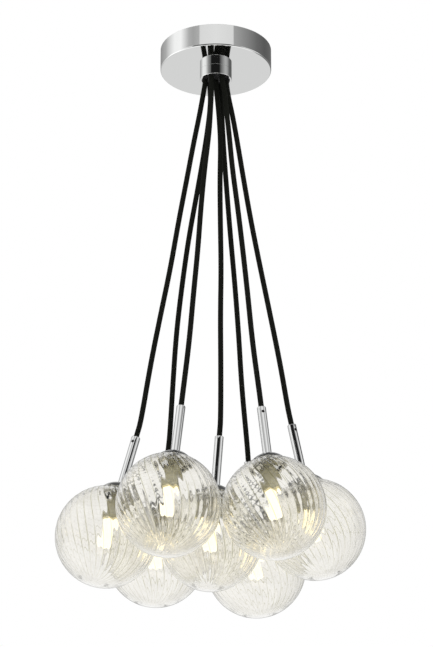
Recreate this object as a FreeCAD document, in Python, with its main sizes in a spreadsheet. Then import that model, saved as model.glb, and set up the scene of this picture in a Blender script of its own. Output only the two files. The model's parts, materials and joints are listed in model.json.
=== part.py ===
# Cluster pendant: seven glass globes hang on black cords from one round canopy on the ceiling.
# The frame is in millimetres, with its origin on the canopy's axis at the ceiling, +Z up and the front at -Y.
import FreeCAD, Part
import math
import os
import Sketcher
from FreeCAD import Placement, Rotation, Vector

SIZES = {
    # canopy, a pressed cup that covers the ceiling bracket
    "canopy_diameter": 138.5,
    "canopy_height": 29.0,
    "canopy_wall": 1.2,
    "canopy_edge_radius": 1.5,
    # bracket, a folded strip that is screwed to the ceiling
    "bracket_width": 20.0,
    "bracket_thickness": 2.0,
    "bracket_ear_end": 5.0,
    "bracket_end_gap": 0.5,
    "ceiling_slot_spacing": 70.0,
    "ceiling_slot_length": 12.0,
    "ceiling_slot_width": 5.0,
    # grub screws that hold the canopy on the bracket's ears
    "canopy_screw_diameter": 4.0,
    "canopy_screw_length": 6.0,
    "canopy_screw_drop": 9.0,
    "canopy_screw_recess": 0.2,
    "screw_slot_width": 0.8,
    "screw_slot_depth": 0.8,
    "thread_clearance": 0.05,
    "hole_clearance": 0.15,
    # collar under the canopy, its ring nut, and the spacer that parts the cords
    "collar_diameter": 40.0,
    "collar_height": 13.0,
    "collar_wall": 1.6,
    "collar_lip": 0.8,
    "collar_lip_height": 1.5,
    "collar_edge_radius": 0.6,
    "collar_shoulder": 0.6,
    "spigot_end": 1.0,
    "nut_wall": 5.0,
    "nut_height": 4.0,
    "nut_notch_width": 4.0,
    "nut_notch_depth": 1.5,
    "spacer_height": 6.0,
    "spacer_clearance": 0.1,
    "exit_margin": 0.15,
    "grip_wall": 1.0,
    "grip_height": 6.0,
    "terminal_rim": 1.5,
    "terminal_height": 12.0,
    "terminal_entry_depth": 3.0,
    # cords
    "cord_diameter": 6.4,
    "cord_lead": 30.0,
    "swing_gap": 0.3,
    # stem, a tube with a cross screw that grips the cord
    "stem_cord_gap": 0.3,
    "stem_wall": 1.75,
    "stem_shown": 62.0,
    "stem_edge": 1.0,
    "stem_screw_diameter": 3.0,
    "stem_screw_drop": 7.5,
    "stem_screw_recess": 0.4,
    # cap, a dome over the hole of the globe
    "cap_overlap": 5.5,
    "cap_rise": 12.0,
    "cap_wall": 1.0,
    "seat_gap": 0.3,
    # globe
    "globe_diameter": 120.0,
    "globe_wall": 3.0,
    "globe_hole_diameter": 34.0,
    # lampholder
    "holder_wall": 4.7,
    "holder_body_height": 24.0,
    "holder_neck_diameter": 17.6,
    "holder_neck_height": 19.0,
    "holder_socket_depth": 9.0,
    # spring clip that grips the hole of the globe
    "clip_sheet": 0.8,
    "clip_cap_gap": 0.5,
    "clip_leg_width": 7.0,
    "clip_leg_reach": 5.5,
    # capsule lamp with a pinched foot and two pins
    "lamp_diameter": 15.0,
    "lamp_length": 36.0,
    "lamp_foot_width": 11.0,
    "lamp_foot_thickness": 3.6,
    "lamp_foot_height": 7.0,
    "lamp_pin_diameter": 1.8,
    "lamp_pin_spacing": 6.0,
    "lamp_pin_length": 6.0,
    "lamp_clearance": 0.3,
    # how the pendants hang
    "cluster_offset": -5.5,
    "cluster_gap": 2.0,
    "cluster_turn": 5.0,
    "hang_drop": 640.0,
}

# Each outer pendant, in turn round the axis: what its bearing and drop add to the even ring, its stem's lean,
# what the lean's bearing adds to its own, and how far the pendant is turned about its stem.
PENDANTS = {
    "right": (0.0, -12.0, 12.3, 14.0, 40.0),
    "back_right": (-1.2, 4.0, 10.0, 3.0, 150.0),
    "back_left": (-2.2, -7.0, 10.5, 2.0, 205.0),
    "left": (0.0, 4.0, 15.0, 8.5, -24.0),
    "front_left": (1.8, 0.0, 11.5, -8.0, 170.0),
    "front_right": (1.0, -1.0, 9.7, 2.0, 14.0),
}
# The middle pendant: what its drop adds, its stem's lean, the lean's bearing and its turn.
MIDDLE = (5.0, 4.4, 195.0, 190.0)
# The bends of each cord, between the collar's mouth and the straight stretch above its stem: where each
# cord is at these heights.
BEND_HEIGHTS = (-64, -92, -130, -178, -236, -298, -360, -424)
CORD_BENDS = {
    "right": [
        (15.5, 1), (21, 1), (27, 1), (34, 0.5),
        (43, 0.5), (54, 0), (65.5, 0), (77, -0.5),
    ],
    "back_right": [
        (6.5, 14), (8, 18.5), (10, 25), (13.5, 33.5),
        (18, 42.5), (23.5, 52.5), (28, 63), (31.5, 73.5),
    ],
    "back_left": [
        (-6.5, 13), (-9, 17.5), (-14.5, 23.5), (-22.5, 31),
        (-33, 40.5), (-41.5, 50), (-48.5, 60), (-52.5, 70.5),
    ],
    "left": [
        (-16, -1), (-20.5, -1), (-27.5, -1.5), (-35.5, -1),
        (-45.5, -0.5), (-55, -0.5), (-66.5, -1), (-78, -0.5),
    ],
    "front_left": [
        (-5.5, -14), (-6.5, -19), (-8.5, -25), (-13.5, -33.5),
        (-18, -43), (-21.5, -53.5), (-26.5, -64), (-31, -75),
    ],
    "front_right": [
        (11, -12.5), (13, -17), (16.5, -23), (20, -30.5),
        (26.5, -39.5), (32.5, -49), (38, -58.5), (43, -68.5),
    ],
    "middle": [
        (1.5, 0), (4, 0.5), (6, 0.5), (5, 1),
        (5.5, 1.5), (6.5, 2), (5.5, 2.5), (6, 2.5),
    ],
}

OUTER_COUNT = len(PENDANTS)
STEP = 360.0 / OUTER_COUNT
CLIP_LEGS = 3
NUT_NOTCHES = 4
ARC_SHARE = 0.45
EDGE_TOLERANCE = 0.001
VOLUME_TOLERANCE = 0.005

doc = FreeCAD.newDocument("ClusterPendant")
sheet = doc.addObject("Spreadsheet::Sheet", "Sizes")
for row, (alias, size) in enumerate(SIZES.items(), start=1):
    sheet.set(f"A{row}", alias)
    sheet.set(f"B{row}", str(size))
    sheet.setAlias(f"B{row}", alias)
doc.recompute()

# Heights and radii that follow from the driving sizes, as expressions.
CANOPY_R = "Sizes.canopy_diameter / 2"
UNDERSIDE = "(0 - Sizes.canopy_height)"
INNER_FLOOR = "(Sizes.canopy_wall - Sizes.canopy_height)"
COLLAR_BOTTOM = "(0 - Sizes.canopy_height - Sizes.collar_height)"
COLLAR_BORE = "(Sizes.collar_diameter / 2 - Sizes.collar_wall)"
SPIGOT_R = "(Sizes.collar_diameter / 2 - Sizes.collar_shoulder)"
SPIGOT_TOP = "(Sizes.canopy_wall - Sizes.canopy_height + Sizes.nut_height + Sizes.spigot_end)"
SPACER_BOTTOM = "(Sizes.collar_lip_height - Sizes.canopy_height - Sizes.collar_height)"
SPACER_R = f"({COLLAR_BORE} - Sizes.spacer_clearance)"
CORD_R = "(Sizes.cord_diameter / 2)"
EXIT_HOLE_R = f"({CORD_R} + Sizes.hole_clearance)"
GRIP_BORE = f"({CORD_R} + Sizes.thread_clearance)"
GRIP_R = f"({GRIP_BORE} + Sizes.grip_wall)"
EXIT_RING = f"({COLLAR_BORE} - Sizes.collar_lip - Sizes.exit_margin - {GRIP_R})"
GRIP_BOTTOM = f"({SPACER_BOTTOM} + Sizes.spacer_height)"
TERMINAL_BOTTOM = "(0 - Sizes.bracket_thickness - Sizes.terminal_height)"
PIVOT = f"({COLLAR_BOTTOM} - {CORD_R} - Sizes.swing_gap - Sizes.hole_clearance)"
TAIL_BOTTOM = f"({PIVOT} + {CORD_R} + Sizes.swing_gap)"
TAIL_TOP = f"({TERMINAL_BOTTOM} + Sizes.terminal_entry_depth)"
EAR_OUTSIDE = (f"(sqrt(({CANOPY_R} - Sizes.canopy_wall) ^ 2 - (Sizes.bracket_width / 2) ^ 2)"
               " - Sizes.bracket_end_gap)")
EAR_BOTTOM = "(0 - Sizes.canopy_screw_drop - Sizes.bracket_ear_end)"

# A pendant's own heights, up its axis from the middle of its globe.
GLOBE_R = "(Sizes.globe_diameter / 2)"
HOLE_R = "(Sizes.globe_hole_diameter / 2)"
CAP_R = f"({HOLE_R} + Sizes.cap_overlap)"
DOME_R = f"(({CAP_R} ^ 2 + Sizes.cap_rise ^ 2) / (2 * Sizes.cap_rise))"
DOME_INSIDE = f"({DOME_R} - Sizes.cap_wall)"
CAP_MOUTH = f"sqrt({DOME_INSIDE} ^ 2 - ({DOME_R} - Sizes.cap_rise) ^ 2)"
CAP_RIM = f"(sqrt({GLOBE_R} ^ 2 - {CAP_MOUTH} ^ 2) + Sizes.seat_gap)"
CAP_TOP = f"({CAP_RIM} + Sizes.cap_rise)"
DOME_CENTRE = f"({CAP_TOP} - {DOME_R})"
STEM_BORE = f"({CORD_R} + Sizes.stem_cord_gap)"
STEM_R = f"({STEM_BORE} + Sizes.stem_wall)"
STEM_TOP = f"({CAP_TOP} + Sizes.stem_shown)"
NECK_R = "(Sizes.holder_neck_diameter / 2)"
CLIP_R = f"({HOLE_R} - Sizes.seat_gap)"
CLIP_TOP = f"({DOME_CENTRE} + sqrt({DOME_INSIDE} ^ 2 - {NECK_R} ^ 2) - Sizes.clip_cap_gap)"
CLIP_SHOULDER = f"({DOME_CENTRE} + sqrt({DOME_INSIDE} ^ 2 - {CLIP_R} ^ 2) - Sizes.clip_cap_gap)"
HOLDER_R = "(Sizes.lamp_foot_width / 2 + Sizes.lamp_clearance + Sizes.holder_wall)"
HOLDER_TOP = f"({CLIP_TOP} - Sizes.clip_sheet)"
HOLDER_SEAT = f"({HOLDER_TOP} - Sizes.holder_socket_depth)"
HOLDER_STEP = f"({HOLDER_TOP} - Sizes.holder_neck_height)"
HOLDER_BOTTOM = f"({HOLDER_STEP} - Sizes.holder_body_height)"
HOLE_EDGE = f"sqrt(({GLOBE_R} - Sizes.globe_wall) ^ 2 - {HOLE_R} ^ 2)"
CLIP_BOTTOM = f"({HOLE_EDGE} - Sizes.clip_leg_reach + Sizes.globe_wall)"
LAMP_R = "(Sizes.lamp_diameter / 2)"
LAMP_TOP = f"({HOLDER_BOTTOM} - Sizes.lamp_clearance)"
LAMP_TIP = f"({LAMP_TOP} - Sizes.lamp_length)"


def number(expression):
    """The value of an expression over the sheet."""
    return float(sheet.evalExpression(expression))


def bind(item, bindings):
    """Ties properties of an object to expressions."""
    for name, expression in bindings.items():
        item.setExpression(name, expression)


def plane(body, role):
    """One of a body's own origin planes."""
    return [feature for feature in body.Origin.OriginFeatures if feature.Role == role][0]


def new_sketch(body, name, role):
    """A sketch on one of a body's origin planes."""
    sketch = body.newObject("Sketcher::SketchObject", name)
    sketch.AttachmentSupport = (plane(body, role), [""])
    sketch.MapMode = "FlatFace"
    return sketch


def measure(sketch, kind, geometry, point, expression):
    """Holds a sketch point at a distance from the sketch's origin."""
    rule = Sketcher.Constraint(kind, -1, 1, geometry, point, number(expression))
    index = sketch.addConstraint(rule)
    label = f"{kind}{geometry}"
    sketch.renameConstraint(index, label)
    sketch.setExpression(f"Constraints.{label}", expression)


def add_outline(sketch, corners):
    """A closed outline of straight edges through corners that are pairs of expressions."""
    points = [Vector(number(across), number(up), 0) for across, up in corners]
    count = len(points)
    for index in range(count):
        sketch.addGeometry(Part.LineSegment(points[index], points[(index + 1) % count]), False)
    for index in range(count):
        sketch.addConstraint(Sketcher.Constraint("Coincident", index, 2, (index + 1) % count, 1))
    for index, (across, up) in enumerate(corners):
        measure(sketch, "DistanceX", index, 1, across)
        measure(sketch, "DistanceY", index, 1, up)


def add_circle(sketch, across, up, radius):
    """A circle whose centre and radius are expressions."""
    centre = Vector(number(across), number(up), 0)
    index = sketch.addGeometry(Part.Circle(centre, Vector(0, 0, 1), number(radius)), False)
    measure(sketch, "DistanceX", index, 3, across)
    measure(sketch, "DistanceY", index, 3, up)
    rule = sketch.addConstraint(Sketcher.Constraint("Radius", index, number(radius)))
    sketch.renameConstraint(rule, f"Radius{index}")
    sketch.setExpression(f"Constraints.Radius{index}", radius)


def turned(name, corners):
    """A body turned about its Z axis from an outline of (radius, height) corners."""
    body = doc.addObject("PartDesign::Body", name)
    sketch = new_sketch(body, f"{name}_outline", "XZ_Plane")
    add_outline(sketch, corners)
    turn = body.newObject("PartDesign::Revolution", f"{name}_turn")
    turn.Profile = sketch
    turn.ReferenceAxis = (sketch, ["V_Axis"])
    turn.Angle = 360.0
    doc.recompute()
    return body


def disc(name, radius, height):
    """A body that is a round disc standing on its XY plane."""
    body = doc.addObject("PartDesign::Body", name)
    sketch = new_sketch(body, f"{name}_outline", "XY_Plane")
    add_circle(sketch, "0", "0", radius)
    pad = body.newObject("PartDesign::Pad", f"{name}_pad")
    pad.Profile = sketch
    pad.setExpression("Length", height)
    doc.recompute()
    return body


def pocket(body, name, sketch, depth=None, up=False, both=False):
    """Cuts a sketch out of a body, right through or to a depth, and tells if nothing was cut."""
    before = body.Shape.Volume
    cut = body.newObject("PartDesign::Pocket", name)
    cut.Profile = sketch
    cut.Reversed = up
    cut.SideType = "Symmetric" if both else "One side"
    if depth is None:
        cut.Type = "ThroughAll"
    else:
        cut.setExpression("Length", depth)
    doc.recompute()
    if body.Shape.Volume >= before:
        raise RuntimeError(f"{name} cuts nothing")
    return cut


def polar(body, name, feature, count):
    """Repeats a feature of a body evenly round its Z axis."""
    pattern = body.newObject("PartDesign::PolarPattern", name)
    pattern.Originals = [feature]
    axis = [item for item in body.Origin.OriginFeatures if item.Role == "Z_Axis"][0]
    pattern.Axis = (axis, [""])
    pattern.Angle = 360.0
    pattern.Occurrences = count
    body.Tip = pattern
    doc.recompute()
    return pattern


def round_edge(body, name, radius, height, fillet):
    """Rounds the circular edge of a body at a radius and height."""
    found = []
    for index, edge in enumerate(body.Shape.Edges, start=1):
        box = edge.BoundBox
        off = max(abs(box.ZMin - height), abs(box.ZMax - height), abs(box.XMax - radius))
        if off < EDGE_TOLERANCE:
            found.append(f"Edge{index}")
    sharp = body.Tip
    rounding = body.newObject("PartDesign::Fillet", name)
    rounding.Base = (sharp, found)
    rounding.setExpression("Radius", fillet)
    doc.recompute()


def cylinder(name, radius, height, bottom="0"):
    """A cylinder on the Z axis."""
    solid = doc.addObject("Part::Cylinder", name)
    bind(solid, {"Radius": radius, "Height": height, "Placement.Base.z": bottom})
    return solid


def sphere(name, radius, height="0"):
    """A ball on the Z axis."""
    solid = doc.addObject("Part::Sphere", name)
    bind(solid, {"Radius": radius, "Placement.Base.z": height})
    return solid


def block(name, width, depth, height, bottom, across="0", back="0"):
    """A box whose middle is at across and back, standing on bottom."""
    solid = doc.addObject("Part::Box", name)
    bind(solid, {"Length": width, "Width": depth, "Height": height})
    place = {"x": f"{across} - ({width}) / 2", "y": f"{back} - ({depth}) / 2", "z": bottom}
    bind(solid, {f"Placement.Base.{letter}": expression for letter, expression in place.items()})
    return solid


def cut(name, base, tool):
    """One solid less another."""
    result = doc.addObject("Part::Cut", name)
    result.Base = base
    result.Tool = tool
    return result


def fuse(name, solids):
    """Several solids joined into one."""
    result = doc.addObject("Part::MultiFuse", name)
    result.Shapes = solids
    result.Refine = True
    return result


def group(name, solids):
    """Several separate solids kept together."""
    result = doc.addObject("Part::Compound", name)
    result.Links = solids
    return result


def placed(name, solid, placement):
    """A copy of a solid at a place of its own."""
    copy = group(name, [solid])
    copy.Placement = placement
    return copy


def exit_place(index, height):
    """Where a cord passes the spacer: one of the ring, or the middle."""
    if index == OUTER_COUNT:
        return Vector(0, 0, height)
    bearing = math.radians(number("Sizes.cluster_turn") + STEP * index)
    reach = number(EXIT_RING)
    return Vector(reach * math.cos(bearing), reach * math.sin(bearing), height)


def at_exits(name, solid):
    """A group with one copy of a solid on each cord's way through the spacer."""
    copies = []
    for index in range(OUTER_COUNT + 1):
        copies.append(placed(f"{name}_{index + 1}", solid, Placement(exit_place(index, 0), Rotation())))
    return group(name, copies)


def canopy():
    """A cup, open towards the ceiling, with a hole for the collar and two screw holes in its wall."""
    hole = f"({SPIGOT_R} + Sizes.hole_clearance)"
    inside = f"({CANOPY_R} - Sizes.canopy_wall)"
    body = turned("canopy", [
        (hole, UNDERSIDE), (CANOPY_R, UNDERSIDE), (CANOPY_R, "0"),
        (inside, "0"), (inside, INNER_FLOOR), (hole, INNER_FLOOR),
    ])
    round_edge(body, "canopy_edge", number(CANOPY_R), number(UNDERSIDE), "Sizes.canopy_edge_radius")
    sketch = new_sketch(body, "canopy_screw_holes", "YZ_Plane")
    screw_hole = "Sizes.canopy_screw_diameter / 2 + Sizes.hole_clearance"
    add_circle(sketch, "0", "0 - Sizes.canopy_screw_drop", screw_hole)
    pocket(body, "canopy_screw_way", sketch, both=True)
    return body


def ceiling_bracket():
    """A strip across the canopy with two slots for ceiling screws and an ear folded down at each end."""
    body = doc.addObject("PartDesign::Body", "ceiling_bracket")
    sketch = new_sketch(body, "bracket_outline", "XZ_Plane")
    inner = f"({EAR_OUTSIDE} - Sizes.bracket_thickness)"
    strip = "0 - Sizes.bracket_thickness"
    add_outline(sketch, [
        (f"0 - {EAR_OUTSIDE}", "0"), (EAR_OUTSIDE, "0"), (EAR_OUTSIDE, EAR_BOTTOM), (inner, EAR_BOTTOM),
        (inner, strip), (f"0 - {inner}", strip), (f"0 - {inner}", EAR_BOTTOM),
        (f"0 - {EAR_OUTSIDE}", EAR_BOTTOM),
    ])
    pad = body.newObject("PartDesign::Pad", "bracket_pad")
    pad.Profile = sketch
    pad.SideType = "Symmetric"
    pad.setExpression("Length", "Sizes.bracket_width")
    doc.recompute()
    holes = new_sketch(body, "bracket_screw_holes", "YZ_Plane")
    thread = "Sizes.canopy_screw_diameter / 2 + Sizes.thread_clearance"
    add_circle(holes, "0", "0 - Sizes.canopy_screw_drop", thread)
    pocket(body, "bracket_screw_way", holes, both=True)
    run = "(Sizes.ceiling_slot_length - Sizes.ceiling_slot_width)"
    for side in ("0 - ", ""):
        middle = f"({side}Sizes.ceiling_slot_spacing / 2)"
        straight = new_sketch(body, "slot_middle", "XY_Plane")
        half = "Sizes.ceiling_slot_width / 2"
        low = f"{middle} - {run} / 2"
        high = f"{middle} + {run} / 2"
        add_outline(straight, [(low, f"0 - {half}"), (high, f"0 - {half}"), (high, half), (low, half)])
        pocket(body, "slot_straight", straight, both=True)
        for end in (low, high):
            circle = new_sketch(body, "slot_end", "XY_Plane")
            add_circle(circle, end, "0", half)
            pocket(body, "slot_round", circle, both=True)
    return body


def collar():
    """A short tube under the canopy, with a spigot up through it and a lip that carries the spacer."""
    outside = "Sizes.collar_diameter / 2"
    lip = f"({COLLAR_BORE} - Sizes.collar_lip)"
    body = turned("collar", [
        (lip, COLLAR_BOTTOM), (outside, COLLAR_BOTTOM), (outside, UNDERSIDE), (SPIGOT_R, UNDERSIDE),
        (SPIGOT_R, SPIGOT_TOP), (COLLAR_BORE, SPIGOT_TOP), (COLLAR_BORE, SPACER_BOTTOM), (lip, SPACER_BOTTOM),
    ])
    round_edge(body, "collar_edge", number(outside), number(COLLAR_BOTTOM), "Sizes.collar_edge_radius")
    return body


def collar_nut():
    """The ring nut inside the canopy, notched for a spanner."""
    inside = f"({SPIGOT_R} + Sizes.thread_clearance)"
    outside = f"({inside} + Sizes.nut_wall)"
    top = f"({INNER_FLOOR} + Sizes.nut_height)"
    body = turned("collar_nut", [
        (inside, INNER_FLOOR), (outside, INNER_FLOOR), (outside, top), (inside, top),
    ])
    half = "Sizes.nut_notch_width / 2"
    sketch = new_sketch(body, "nut_notch", "XY_Plane")
    floor = f"{outside} - Sizes.nut_notch_depth"
    past = f"{outside} + Sizes.nut_notch_depth"
    add_outline(sketch, [(floor, f"0 - {half}"), (past, f"0 - {half}"), (past, half), (floor, half)])
    notch = pocket(body, "nut_notch_cut", sketch, both=True)
    polar(body, "nut_notches", notch, NUT_NOTCHES)
    return body


def drilled_disc(name, radius, height, hole, depth=None):
    """A disc with a hole for every cord: one in the middle and a ring of them."""
    body = disc(name, radius, height)
    middle = new_sketch(body, f"{name}_middle", "XY_Plane")
    add_circle(middle, "0", "0", hole)
    pocket(body, f"{name}_middle_hole", middle, depth=depth, up=True)
    outer = new_sketch(body, f"{name}_outer", "XY_Plane")
    add_circle(outer, EXIT_RING, "0", hole)
    drilled = pocket(body, f"{name}_outer_hole", outer, depth=depth, up=True)
    polar(body, f"{name}_ring", drilled, OUTER_COUNT)
    body.Placement = Placement(Vector(), Rotation(Vector(0, 0, 1), number("Sizes.cluster_turn")))
    return body


def cord_spacer():
    """The disc in the collar that keeps the cords apart."""
    body = drilled_disc("cord_spacer", SPACER_R, "Sizes.spacer_height", EXIT_HOLE_R)
    body.setExpression("Placement.Base.z", SPACER_BOTTOM)
    return body


def terminal_block():
    """The round wiring block under the bracket, with a blind entry for each cord."""
    radius = f"({EXIT_RING} + {EXIT_HOLE_R} + Sizes.terminal_rim)"
    depth = "Sizes.terminal_entry_depth"
    body = drilled_disc("terminal_block", radius, "Sizes.terminal_height", EXIT_HOLE_R, depth)
    body.setExpression("Placement.Base.z", TERMINAL_BOTTOM)
    return body


def cord_grips():
    """A clamping bush round each cord, on top of the spacer."""
    height = "Sizes.grip_height"
    outside = cylinder("grip_outside", GRIP_R, height, GRIP_BOTTOM)
    bore = cylinder("grip_bore", GRIP_BORE, height, GRIP_BOTTOM)
    return at_exits("cord_grips", cut("grip_bush", outside, bore))


def cord_tails():
    """The still ends of the cords, from the collar's mouth up into the wiring block."""
    tail = cylinder("tail", CORD_R, f"{TAIL_TOP} - {TAIL_BOTTOM}", TAIL_BOTTOM)
    return at_exits("cord_tails", tail)


def canopy_screws():
    """Two slotted grub screws, flush in the canopy's wall and threaded through the bracket's ears."""
    length = "Sizes.canopy_screw_length"
    shank = cylinder("canopy_screw_shank", "Sizes.canopy_screw_diameter / 2", length)
    groove = block("canopy_screw_groove", "2 * Sizes.canopy_screw_diameter", "Sizes.screw_slot_width",
                   "2 * Sizes.screw_slot_depth", f"{length} - Sizes.screw_slot_depth")
    screw = cut("canopy_screw", shank, groove)
    reach = number(f"{CANOPY_R} - Sizes.canopy_screw_recess - {length}")
    drop = number("0 - Sizes.canopy_screw_drop")
    pair = []
    for index, side in enumerate((1, -1), start=1):
        lying = Rotation(Vector(0, 0, 1), Vector(side, 0, 0))
        pair.append(placed(f"canopy_screw_{index}", screw, Placement(Vector(side * reach, 0, drop), lying)))
    return group("canopy_screws", pair)


def stem_model():
    """The tube that the cord enters, and the grub screw in its side that grips the cord."""
    edge = "Sizes.stem_edge"
    tube = turned("stem_tube", [
        (STEM_BORE, HOLDER_SEAT), (STEM_R, HOLDER_SEAT), (STEM_R, f"{STEM_TOP} - {edge}"),
        (f"{STEM_R} - {edge}", STEM_TOP), (STEM_BORE, STEM_TOP),
    ])
    height = f"{STEM_TOP} - Sizes.stem_screw_drop"
    sketch = new_sketch(tube, "stem_screw_hole", "XZ_Plane")
    add_circle(sketch, "0", height, "Sizes.stem_screw_diameter / 2 + Sizes.thread_clearance")
    # Only the front wall is drilled.
    pocket(tube, "stem_screw_way", sketch, depth=STEM_R, up=True)
    radius = "Sizes.stem_screw_diameter / 2"
    screw = cylinder("stem_screw", radius, "Sizes.stem_wall - Sizes.stem_screw_recess")
    screw.Placement = Placement(Vector(), Rotation(Vector(0, 0, 1), Vector(0, -1, 0)))
    bind(screw, {"Placement.Base.y": f"0 - {STEM_BORE}", "Placement.Base.z": height})
    return group("stem_model", [tube, screw])


def cap_model():
    """A thin dome that sits over the globe's hole, with the stem through its top."""
    dome = doc.addObject("Part::Common", "cap_dome")
    dome.Base = sphere("cap_outside", DOME_R, DOME_CENTRE)
    dome.Tool = cylinder("cap_reach", DOME_R, "Sizes.cap_rise", CAP_RIM)
    shell = cut("cap_shell", dome, sphere("cap_inside", DOME_INSIDE, DOME_CENTRE))
    way = cylinder("cap_hole", f"{STEM_R} + Sizes.thread_clearance", f"2 * {DOME_R}", DOME_CENTRE)
    return cut("cap_model", shell, way)


def lampholder_model():
    """The ceramic holder: a neck for the stem, and a wider body with the lamp's slot and pin holes."""
    socket = f"({STEM_R} + Sizes.thread_clearance)"
    body = turned("lampholder_model", [
        ("0", HOLDER_BOTTOM), (HOLDER_R, HOLDER_BOTTOM), (HOLDER_R, HOLDER_STEP), (NECK_R, HOLDER_STEP),
        (NECK_R, HOLDER_TOP), (socket, HOLDER_TOP), (socket, HOLDER_SEAT), ("0", HOLDER_SEAT),
    ])
    half_width = "(Sizes.lamp_foot_width / 2 + Sizes.lamp_clearance)"
    half_depth = "(Sizes.lamp_foot_thickness / 2 + Sizes.lamp_clearance)"
    roof = f"{HOLDER_BOTTOM} + Sizes.lamp_foot_height"
    slot = new_sketch(body, "lamp_slot", "XZ_Plane")
    below = f"{HOLDER_BOTTOM} - Sizes.lamp_foot_height"
    add_outline(slot, [
        (f"0 - {half_width}", below), (half_width, below), (half_width, roof), (f"0 - {half_width}", roof),
    ])
    pocket(body, "lamp_slot_cut", slot, depth=f"2 * {half_depth}", both=True)
    pin_r = "(Sizes.lamp_pin_diameter / 2 + Sizes.lamp_clearance)"
    pin_top = f"{roof} + Sizes.lamp_pin_length"
    for side in ("0 - ", ""):
        middle = f"({side}Sizes.lamp_pin_spacing / 2)"
        hole = new_sketch(body, "pin_hole", "XZ_Plane")
        add_outline(hole, [
            (f"{middle} - {pin_r}", below), (f"{middle} + {pin_r}", below),
            (f"{middle} + {pin_r}", pin_top), (f"{middle} - {pin_r}", pin_top),
        ])
        pocket(body, "pin_hole_cut", hole, depth=f"2 * {pin_r}", both=True)
    return body


def clip_model():
    """A spring clip on top of the holder: a washer with legs that press on the rim of the globe's hole."""
    sheet_metal = "Sizes.clip_sheet"
    hole = f"({STEM_R} + Sizes.thread_clearance)"
    inside = f"({CLIP_R} - {sheet_metal})"
    cup = turned("clip_cup", [
        (hole, f"{CLIP_TOP} - {sheet_metal}"), (NECK_R, f"{CLIP_TOP} - {sheet_metal}"),
        (inside, f"{CLIP_SHOULDER} - {sheet_metal}"), (inside, CLIP_BOTTOM), (CLIP_R, CLIP_BOTTOM),
        (CLIP_R, CLIP_SHOULDER), (NECK_R, CLIP_TOP), (hole, CLIP_TOP),
    ])
    height = f"{CLIP_TOP} - {CLIP_BOTTOM}"
    pieces = [cylinder("clip_middle", NECK_R, height, CLIP_BOTTOM)]
    for index in range(CLIP_LEGS):
        bar = block("clip_bar", CLIP_R, "Sizes.clip_leg_width", height, CLIP_BOTTOM, across=f"{CLIP_R} / 2")
        turn = Rotation(Vector(0, 0, 1), 360.0 * index / CLIP_LEGS)
        pieces.append(placed(f"clip_leg_{index + 1}", bar, Placement(Vector(), turn)))
    star = fuse("clip_star", pieces)
    clip = doc.addObject("Part::Common", "clip_model")
    clip.Base = cup
    clip.Tool = star
    return clip


def globe_model():
    """A hollow ball of glass with one round hole at the top."""
    inside = sphere("globe_inside", f"{GLOBE_R} - Sizes.globe_wall")
    shell = cut("globe_shell", sphere("globe_outside", GLOBE_R), inside)
    return cut("globe_model", shell, cylinder("globe_hole", HOLE_R, GLOBE_R))


def lamp_model():
    """A capsule lamp: a round-ended tube of glass, a pinched foot and two pins."""
    middle = f"({LAMP_TIP} + {LAMP_R})"
    tube = cylinder("lamp_tube", LAMP_R, f"{LAMP_TOP} - {middle}", middle)
    tip = sphere("lamp_tip", LAMP_R, middle)
    tip.Angle2 = 0.0
    foot_top = f"({HOLDER_BOTTOM} + Sizes.lamp_foot_height - Sizes.lamp_clearance)"
    foot = block("lamp_foot", "Sizes.lamp_foot_width", "Sizes.lamp_foot_thickness",
                 f"{foot_top} - {LAMP_TOP}", LAMP_TOP)
    solids = [tube, tip, foot]
    for side in ("0 - ", ""):
        pin = cylinder("lamp_pin", "Sizes.lamp_pin_diameter / 2", "Sizes.lamp_pin_length", foot_top)
        pin.setExpression("Placement.Base.x", f"{side}Sizes.lamp_pin_spacing / 2")
        solids.append(pin)
    return fuse("lamp_model", solids)


def cord_tube(name, points):
    """A round cord along straight runs that large arcs join, with a rounded upper end."""
    radius = number(CORD_R)
    edges = []
    length = 0.0
    radii = []
    start = points[0]
    for before, corner, after in zip(points, points[1:], points[2:]):
        arriving = (corner - before).normalize()
        leaving = (after - corner).normalize()
        turn = arriving.getAngle(leaving)
        reach = ARC_SHARE * min((corner - before).Length, (after - corner).Length)
        bend = reach / math.tan(turn / 2)
        entry = corner - arriving * reach
        way_out = corner + leaving * reach
        inward = (leaving - arriving).normalize()
        middle = corner + inward * (bend / math.cos(turn / 2) - bend)
        edges.append(Part.LineSegment(start, entry).toShape())
        edges.append(Part.Arc(entry, middle, way_out).toShape())
        length += (entry - start).Length + bend * turn
        radii.append(bend)
        start = way_out
    edges.append(Part.LineSegment(start, points[-1]).toShape())
    length += (points[-1] - start).Length
    first = (points[1] - points[0]).normalize()
    section = Part.Wire([Part.makeCircle(radius, points[0], first)])
    tube = Part.Wire(edges).makePipeShell([section], True, False)
    expected = math.pi * radius ** 2 * length
    if abs(tube.Volume / expected - 1) > VOLUME_TOLERANCE:
        raise RuntimeError(f"{name}: volume {tube.Volume:.0f} instead of {expected:.0f}")
    end = Part.makeSphere(radius, points[0], first * -1, 0, 90, 360)
    feature = doc.addObject("Part::Feature", name)
    feature.Shape = tube.fuse(end).removeSplitter()
    print(f"{name}: {length:.0f} mm long, bend radii {[round(bend) for bend in radii]}")
    return feature


def hanging_place(bearing, reach, drop, lean, lean_bearing, turn):
    """Where a pendant hangs: the middle of its globe, turned about its stem and then leaned."""
    around = math.radians(bearing)
    offset = number("Sizes.cluster_offset")
    height = -number("Sizes.hang_drop") - drop
    middle = Vector(offset + reach * math.cos(around), reach * math.sin(around), height)
    aside = math.radians(lean_bearing)
    axis = Vector(-math.sin(aside), math.cos(aside), 0)
    return Placement(middle, Rotation(axis, -lean) * Rotation(Vector(0, 0, 1), turn))


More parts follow.
